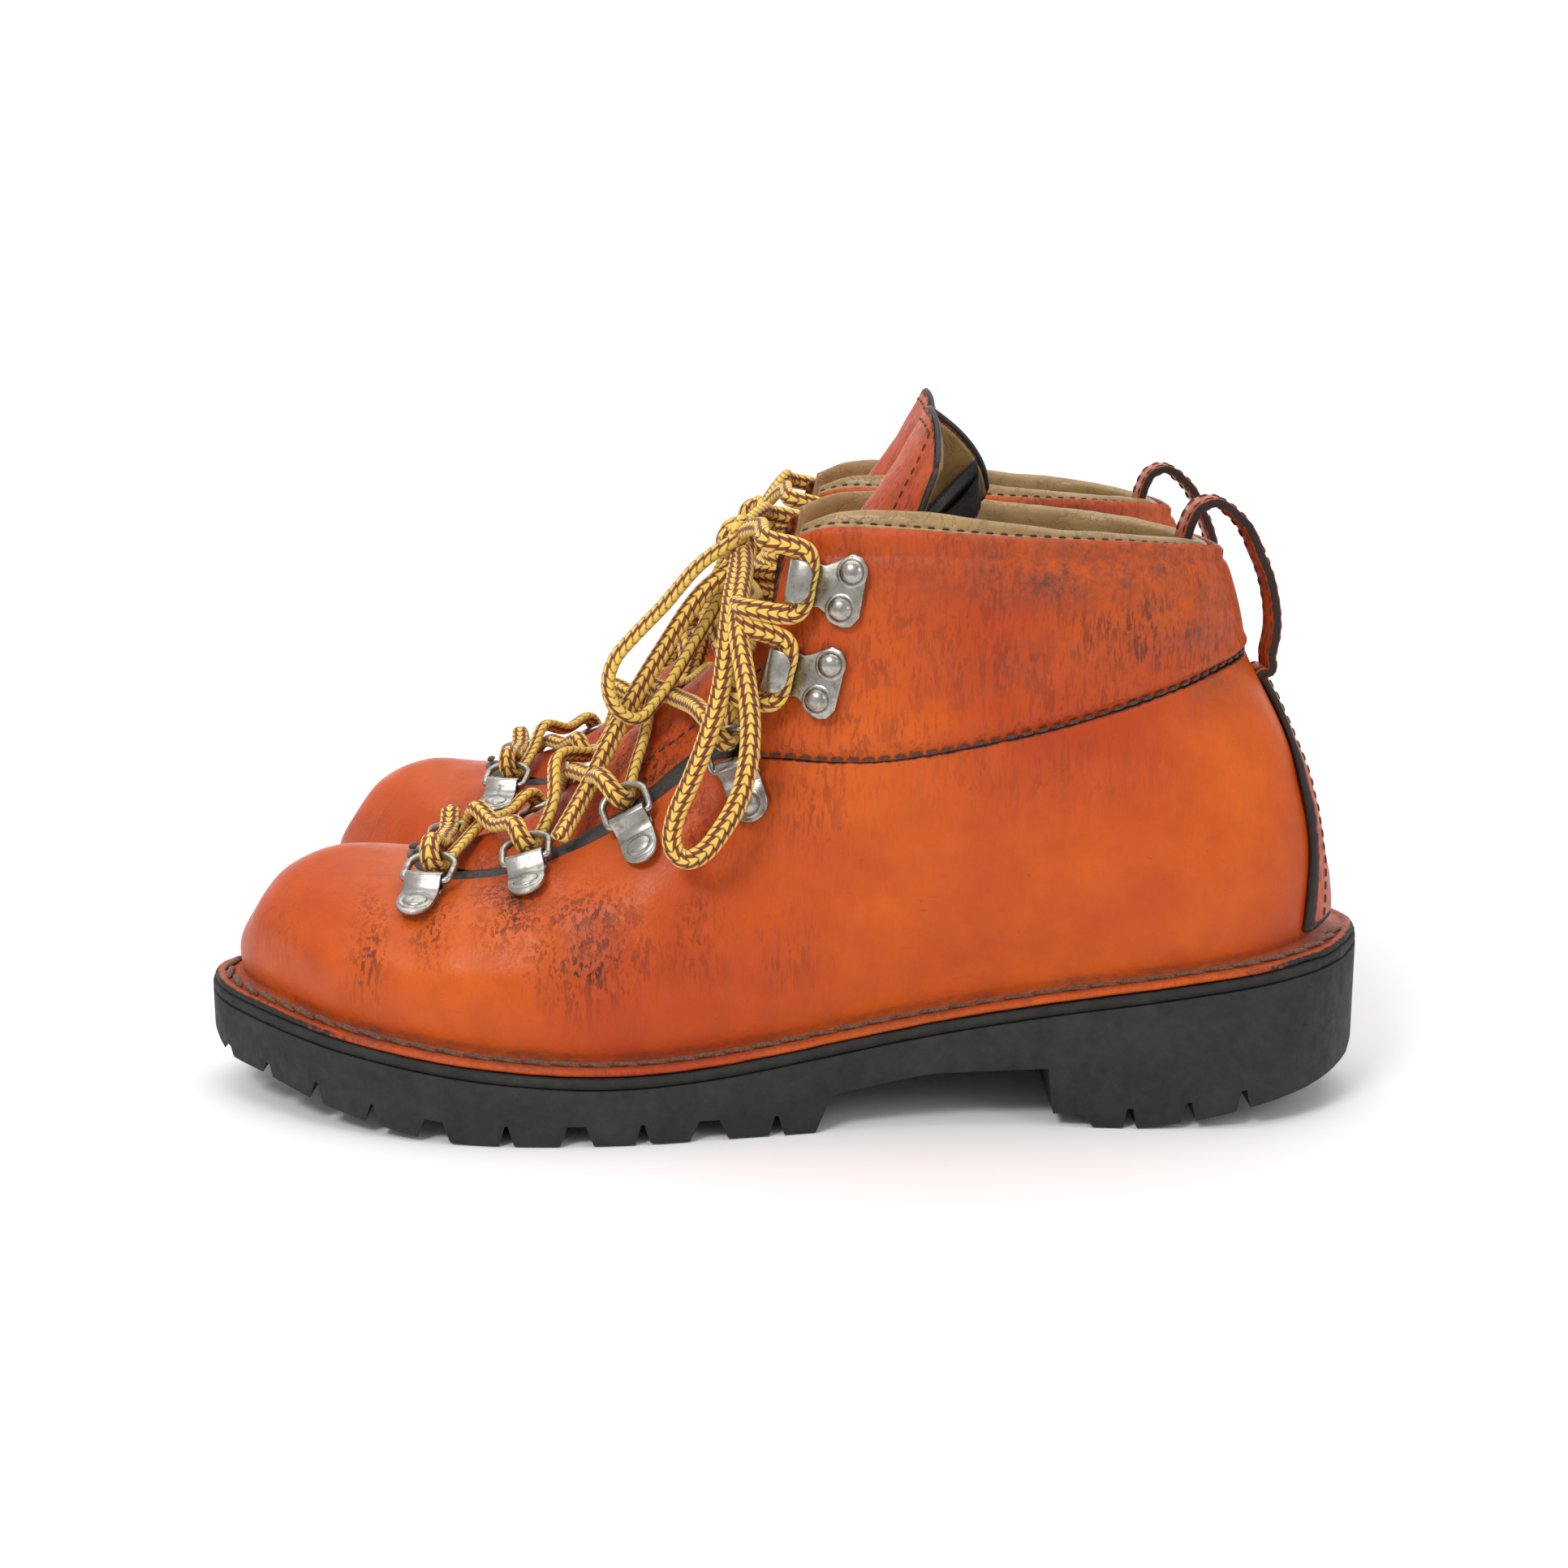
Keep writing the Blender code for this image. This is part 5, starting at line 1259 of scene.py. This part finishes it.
def make_pull_loop(boot, finish):
    """The strap at the back of the collar, its ends tucked into the seams."""
    path = along([(101.2, 137), (101.8, 143.5), *LOOP_PATH, (122.4, 110.5), (121.3, 106)], 110)
    line = np.stack([path[:, 0], 0 * path[:, 0], path[:, 1]], -1)
    ahead = unit(np.gradient(line, axis=0))
    rise = unit(np.cross(OUTWARDS, ahead))
    half = LOOP_WIDTH / 2
    section = [(-1, 0.55), (-0.96, 1), (0, 1.08), (0.96, 1), (1, 0.55), (1, -0.55), (0.96, -1), (0, -1),
               (-0.96, -1), (-1, -0.55)]
    wave = 0.25 * bumps(line, 8, 3.0)
    loops = np.stack([line + half * c * OUTWARDS + ((1.1 * t + wave)[:, None]) * rise
                      for c, t in section], 1)
    worn = np.zeros(loops.shape[:2])
    worn[:, [0, 4, 5, 9]] = 1.0
    worn[:, [1, 3, 6, 8]] = 0.45
    flex = np.full(loops.shape[:2], 0.5)
    mesh = solids_mesh("loop", [boot.world(loops)], False, {"worn": worn, "flex": flex})
    piece = show(boot, "pull_loop_strap", mesh, finish["leather"])
    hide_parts(boot.node("pull_loop"))
    stitches = []
    for w in (-4.6, 4.6):
        for sign in (1, -1):
            row = line[12:104] + w * OUTWARDS + sign * 1.12 * rise[12:104]
            stitches += stitch_row(row, sign * rise[12:104], 3.4, 2.3, 0.3)
    show_rows(boot, "pull_loop_stitches", stitches, finish["dark_stitch"])


# ---------------------------------------------------------------- metal

def disc(seat, s, t, profile, sides=36, stretch=1.0):
    """Loops of a round body that stands off the leather, from (radius, height) points."""
    turns = np.linspace(0, 2 * pi, sides, endpoint=False)
    return np.array([[seat.at(s + radius * cos(a), t + stretch * radius * sin(a), n) for a in turns]
                     for radius, n in profile])


def dome(radius, foot, rise, rim):
    """The profile of a rivet's rim and dome."""
    arc = [(radius * sin(a), foot + rim + rise * cos(a)) for a in np.linspace(pi / 2, 0.06, 8)]
    return [(radius + 0.75, foot), (radius + 0.8, foot + 0.5 * rim), (radius + 0.45, foot + rim), *arc]


def make_bracket(boot, label, seat, reach, domed, finish):
    """A strap of sheet metal folded round the ring's bar, and its rivet."""
    half = BRACKET_WIDTH / 2
    sheet = 0.62
    inner = EYE_RADIUS - sheet
    profile, under = [], []
    for a in np.linspace(-0.42 * pi, -1.58 * pi, 25):
        profile.append((EYE_RADIUS * cos(a), EYE_RADIUS + EYE_RADIUS * sin(a)))
        under.append((inner * cos(a), EYE_RADIUS + inner * sin(a)))
    neck = PLATE + 0.25
    outside = [(3.0, 0.02), *profile, (2.6, neck + 0.9), (3.9, neck + 0.1), (5.0, neck - 0.1)]
    inside = [(3.0, sheet), *under, (2.3, neck + 0.35), (3.6, neck - 0.5), (5.0, neck - 0.65)]
    fold = [[seat.at(o[0], half, o[1]), seat.at(i[0], half, i[1]), seat.at(i[0], -half, i[1]),
             seat.at(o[0], -half, o[1])] for o, i in zip(outside, inside)]
    turns = np.linspace(-pi / 2, pi / 2, 19)
    tongue = [(4.2, -half), *[(reach + 0.96 * half * cos(a), half * sin(a)) for a in turns], (4.2, half)]
    tail = np.array([[seat.at(s, t, n) for s, t in tongue] for n in (0.15, PLATE + 0.15)])
    piece = show_rows(boot, "bracket_" + label, [fold, tail], finish, flat=35)
    bevelled(piece, 0.28, 2)
    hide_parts(boot.node("ring_bracket_" + label))
    top = PLATE + 0.1
    shape = dome(2.9, top, 2.1, 0.35) if domed else dome(2.5, top, 0.75, 0.3)
    rivet = disc(seat, reach, 0, shape, 40, 1.0 if domed else 1.35)
    show_rows(boot, "bracket_rivet_" + label, [rivet], finish, flat=60)


def make_ring(boot, label, seat, finish):
    """A D-ring of round wire: its bar through the bracket's eye, its arc towards the throat."""
    half = RING_HALF_WIDTH
    arc = [(RING_REACH - 4.2 + 4.2 * sin(a), half * cos(a)) for a in np.linspace(0.1, pi - 0.1, 21)]
    corner = [(0, half - 1.1), (0.12, half - 0.6), (0.45, half - 0.2), (1.0, half - 0.03), (2.2, half)]
    bar = [(0, t) for t in np.linspace(-half + 2, half - 2, 7)]
    path = np.array([*bar, *corner, *arc, *[(reach, -t) for reach, t in reversed(corner)]])
    ahead = unit(np.roll(path, -1, 0) - np.roll(path, 1, 0))
    turns = np.linspace(0, 2 * pi, 14, endpoint=False)
    loops = [[ring_place(seat, r + dt * RING_WIRE * cos(a), t - dr * RING_WIRE * cos(a),
                         RING_WIRE * sin(a)) for a in turns] for (r, t), (dr, dt) in zip(path, ahead)]
    piece = show(boot, "ring_wire_" + label, solids_mesh("ring", [boot.world(loops)], True), finish,
                 boot.node("d_ring_" + label))
    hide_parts(boot.node("d_ring_" + label))


def make_hook(boot, label, seat, finish):
    """A speed hook: a plate on two rivets whose front is bent back over the lace."""
    keys = np.array([s for s, _ in HOOK_PLATE_WIDTHS][::-1], float)
    values = np.array([w for _, w in HOOK_PLATE_WIDTHS][::-1], float)
    bend = HOOK_GAP / 2
    middle = HOOK_PLATE + bend
    sections = []
    for s in np.linspace(15.0, 0.3, 26):
        outward = np.interp(s, keys, values) + 0.15
        sections.append(((s, 0.0), (s, HOOK_PLATE), outward))
    for a in np.linspace(-pi / 2, -3 * pi / 2, 17)[1:-1]:
        sections.append((((bend + HOOK_PLATE) * cos(a), middle + (bend + HOOK_PLATE) * sin(a)),
                         (bend * cos(a), middle + bend * sin(a)), 5.2))
    top = HOOK_PLATE + HOOK_GAP
    for s in np.linspace(0, 3.4, 9):
        wide = 5.2 * np.sqrt(max(0.04, 1 - (s / 3.7) ** 2.4))
        sections.append(((s, top + HOOK_PLATE), (s, top), wide))
    loops = [[seat.at(o[0], h, o[1]), seat.at(i[0], h, i[1]), seat.at(i[0], -h, i[1]),
              seat.at(o[0], -h, o[1])] for o, i, h in sections]
    piece = show_rows(boot, "hook_" + label, [loops], finish, flat=38)
    bevelled(piece, 0.3, 2)
    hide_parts(boot.node("lace_hook_" + label))
    rivets = [disc(seat, s, t, dome(3.1, HOOK_PLATE - 0.1, 2.0, 0.4), 40) for s, t in HOOK_RIVETS]
    show_rows(boot, "hook_rivets_" + label, rivets, finish, flat=60)


# ---------------------------------------------------------------- laces

def lace_mesh(boot, path):
    """A flat braid along a design path, with UVs in turns round it and millimetres along it."""
    sides = 16
    loops = sweep(path, LACE_WIDE, LACE_THICK, sides, None, rounded_ends(len(path), 300, 1.0))
    rows = len(path)
    mesh = bpy.data.meshes.new("lace")
    faces = grid_faces(rows, sides, False)
    last = (rows - 1) * sides
    caps = [list(range(sides)), list(range(last, last + sides))]
    mesh.from_pydata(boot.world(loops).reshape(-1, 3).tolist(), [], faces + caps)
    span = np.concatenate([[0], np.cumsum(np.linalg.norm(np.diff(path, axis=0), axis=1))])
    layer = mesh.uv_layers.new(name="UVMap")
    uvs = np.zeros((len(mesh.loops), 2))
    i, k = np.meshgrid(np.arange(rows - 1), np.arange(sides), indexing="ij")
    around = np.stack([k, k + 1, k + 1, k], -1) / sides
    length = np.stack([span[i], span[i], span[i + 1], span[i + 1]], -1)
    uvs[:around.size] = np.stack([around.ravel(), length.ravel()], -1)
    layer.data.foreach_set("uv", uvs.ravel())
    face_outwards(mesh)
    return mesh, span[-1]


def spaced(points, step=0.8):
    """Points every step millimetres along a smooth curve through the given ones."""
    points = np.asarray(points, float)
    length = np.linalg.norm(np.diff(points, axis=0), axis=1).sum()
    return along(points, int(length / step) + 2)


def make_free_laces(boot, finish):
    """The bow's two loops and the two loose ends: the only stretches of lace that hang free."""
    knot = np.array(KNOT[boot.name], float)
    loops, ends = BOW[boot.name][:2], BOW[boot.name][2:]
    routes = [("bow_loop_%d" % (i + 1), [knot, *loop, knot + (0.3, 0.4, 0.5)], "object")
              for i, loop in enumerate(loops)]
    routes += [("lace_end_%d" % (i + 1), [knot, *end], "bare") for i, end in enumerate(ends)]
    for name, route, far_end in routes:
        path = softened(spaced(route), 8)
        mesh, length = lace_mesh(boot, path)
        piece = show(boot, name, mesh, finish)
        world = boot.world(path)
        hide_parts(boot.node("lace"))


def softened(path, passes):
    """The same path with its small wiggles evened out; its ends stay."""
    path = np.array(path)
    for _ in range(passes):
        path[1:-1] = 0.25 * path[:-2] + 0.5 * path[1:-1] + 0.25 * path[2:]
    return path


def make_threaded_lace(boot, rings, hooks, finish):
    """The two halves of lace through the rings and round the hooks."""
    for side, name in ((1, "lace_from_outer"), (-1, "lace_from_inner")):
        path = softened(spaced(laced_half(boot.name, rings, hooks, side), 0.7), 4)
        mesh, _ = lace_mesh(boot, path)
        show(boot, name, mesh, finish)


def make_knot(boot, finish):
    """The crossed turns of lace in the middle of the bow."""
    centre = np.array(KNOT[boot.name], float)
    turns = np.linspace(0, 2 * pi, 60)
    wraps = []
    for lean, radius, shift in ((0.3, 4.6, (0, 1.2, -0.5)), (-0.5, 4.3, (0.3, -1.4, 0.4)),
                                (1.35, 4.4, (-0.8, 0, 0.2))):
        ring = np.stack([np.cos(turns) * radius, np.sin(turns) * 1.2 + 0 * turns,
                         np.sin(turns) * radius * 0.85], -1)
        turned = ring.copy()
        turned[:, 1] = ring[:, 1] * cos(lean) - ring[:, 0] * sin(lean)
        turned[:, 0] = ring[:, 1] * sin(lean) + ring[:, 0] * cos(lean)
        wraps.append(centre + turned + np.array(shift))
    for i, path in enumerate(wraps):
        mesh, _ = lace_mesh(boot, path)
        show(boot, "knot_turn_%d" % (i + 1), mesh, finish)


# ---------------------------------------------------------------- scene

def make_camera():
    """The camera in front of the left boot's outer side, looking slightly down."""
    camera = bpy.data.objects.new("camera", bpy.data.cameras.new("camera"))
    camera.data.lens = LENS
    camera.data.sensor_width = 36
    camera.data.clip_start = 0.02
    camera.location = CAMERA_PLACE
    camera.rotation_euler = (pi / 2 - CAMERA_DIP, 0, 0)
    bpy.context.scene.collection.objects.link(camera)
    bpy.context.scene.camera = camera


def area_light(name, place, target, size, power):
    lamp = bpy.data.lights.new(name, "AREA")
    lamp.shape = "RECTANGLE"
    lamp.size, lamp.size_y = size
    lamp.energy = power
    holder = bpy.data.objects.new(name, lamp)
    holder.location = place
    holder.rotation_euler = (Vector(target) - Vector(place)).to_track_quat("-Z", "Y").to_euler()
    bpy.context.scene.collection.objects.link(holder)


def make_studio():
    """White surroundings, a white floor and soft light from above and in front."""
    world = bpy.data.worlds.new("studio")
    world.use_nodes = True
    background = world.node_tree.nodes["Background"]
    background.inputs["Color"].default_value = (1, 1, 1, 1)
    background.inputs["Strength"].default_value = 0.66
    bpy.context.scene.world = world
    bpy.context.scene.view_settings.view_transform = "Standard"
    area_light("key", (-0.55, -0.95, 1.05), (0, 0, 0.06), (0.4, 0.3), 8)
    area_light("fill", (0.9, -0.9, 0.7), (0, 0, 0.06), (0.5, 0.5), 2)
    area_light("overhead", (0.0, 0.5, 1.9), (0, 0.3, 0.0), (2.4, 2.0), 22)
    bpy.ops.mesh.primitive_plane_add(size=1, location=(0, 0.2, -0.0004))
    floor = bpy.context.object
    floor.name = "floor"
    floor.scale = (6, 4.4, 1)
    s = Shade("white_floor", roughness=0.9, specular=0.1)
    tone = s.mix(s.spread(s.noise(3, 2), 0.3, 0.7), (0.90, 0.90, 0.90), (0.93, 0.93, 0.93))
    floor.data.materials.append(s.finish(tone))
    bpy.ops.mesh.primitive_plane_add(size=1, location=(0, 2.4, 0.75), rotation=(pi / 2, 0, 0))
    backdrop = bpy.context.object
    backdrop.name = "backdrop"
    backdrop.scale = (6, 1.6, 1)
    s = Shade("white_backdrop", roughness=1.0, specular=0.0)
    s.shader.inputs["Emission Color"].default_value = (1, 1, 1, 1)
    s.shader.inputs["Emission Strength"].default_value = 0.9
    backdrop.data.materials.append(s.finish((0.5, 0.5, 0.5)))


def build_boot(name, side, frame, finishes):
    """Every piece of one boot; side is -1 for the left boot and 1 for the right one."""
    boot = Boot(name, side)
    rings, hooks = seats_of_boot()
    make_free_laces(boot, finishes["lace"])
    make_threaded_lace(boot, rings, hooks, finishes["lace"])
    make_knot(boot, finishes["lace"])
    make_outsole(boot, finishes["rubber"])
    make_midsole(boot, finishes["midsole"])
    make_footbed(boot, frame, finishes["footbed"])
    make_upper(boot, finishes)
    make_flange_stitches(boot, finishes["stitch"])
    make_cuff(boot, finishes)
    make_topline(boot, finishes)
    make_collar_padding(boot, finishes)
    make_inner_lining(boot, finishes["shaded_tan_lining"])
    make_tongue(boot, finishes)
    make_gusset(boot, finishes)
    make_backstay(boot, finishes)
    make_pull_loop(boot, finishes)
    for i, seat in enumerate(rings):
        label = "%s_%d" % ("outer" if i < 4 else "inner", i % 4 + 1)
        _, _, reach, domed = RING_SEATS[i % 4]
        make_bracket(boot, label, seat, reach, domed, finishes["metal"])
        make_ring(boot, label, seat, finishes["metal"])
    for i, seat in enumerate(hooks):
        label = "%s_%d" % ("outer" if i < 2 else "inner", i % 2 + 1)
        make_hook(boot, label, seat, finishes["metal"])


def main():
    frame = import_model()
    make_camera()
    finishes = make_finishes()
    build_boot("left", -1, frame, finishes)
    build_boot("right", 1, frame, finishes)
    make_studio()


main()
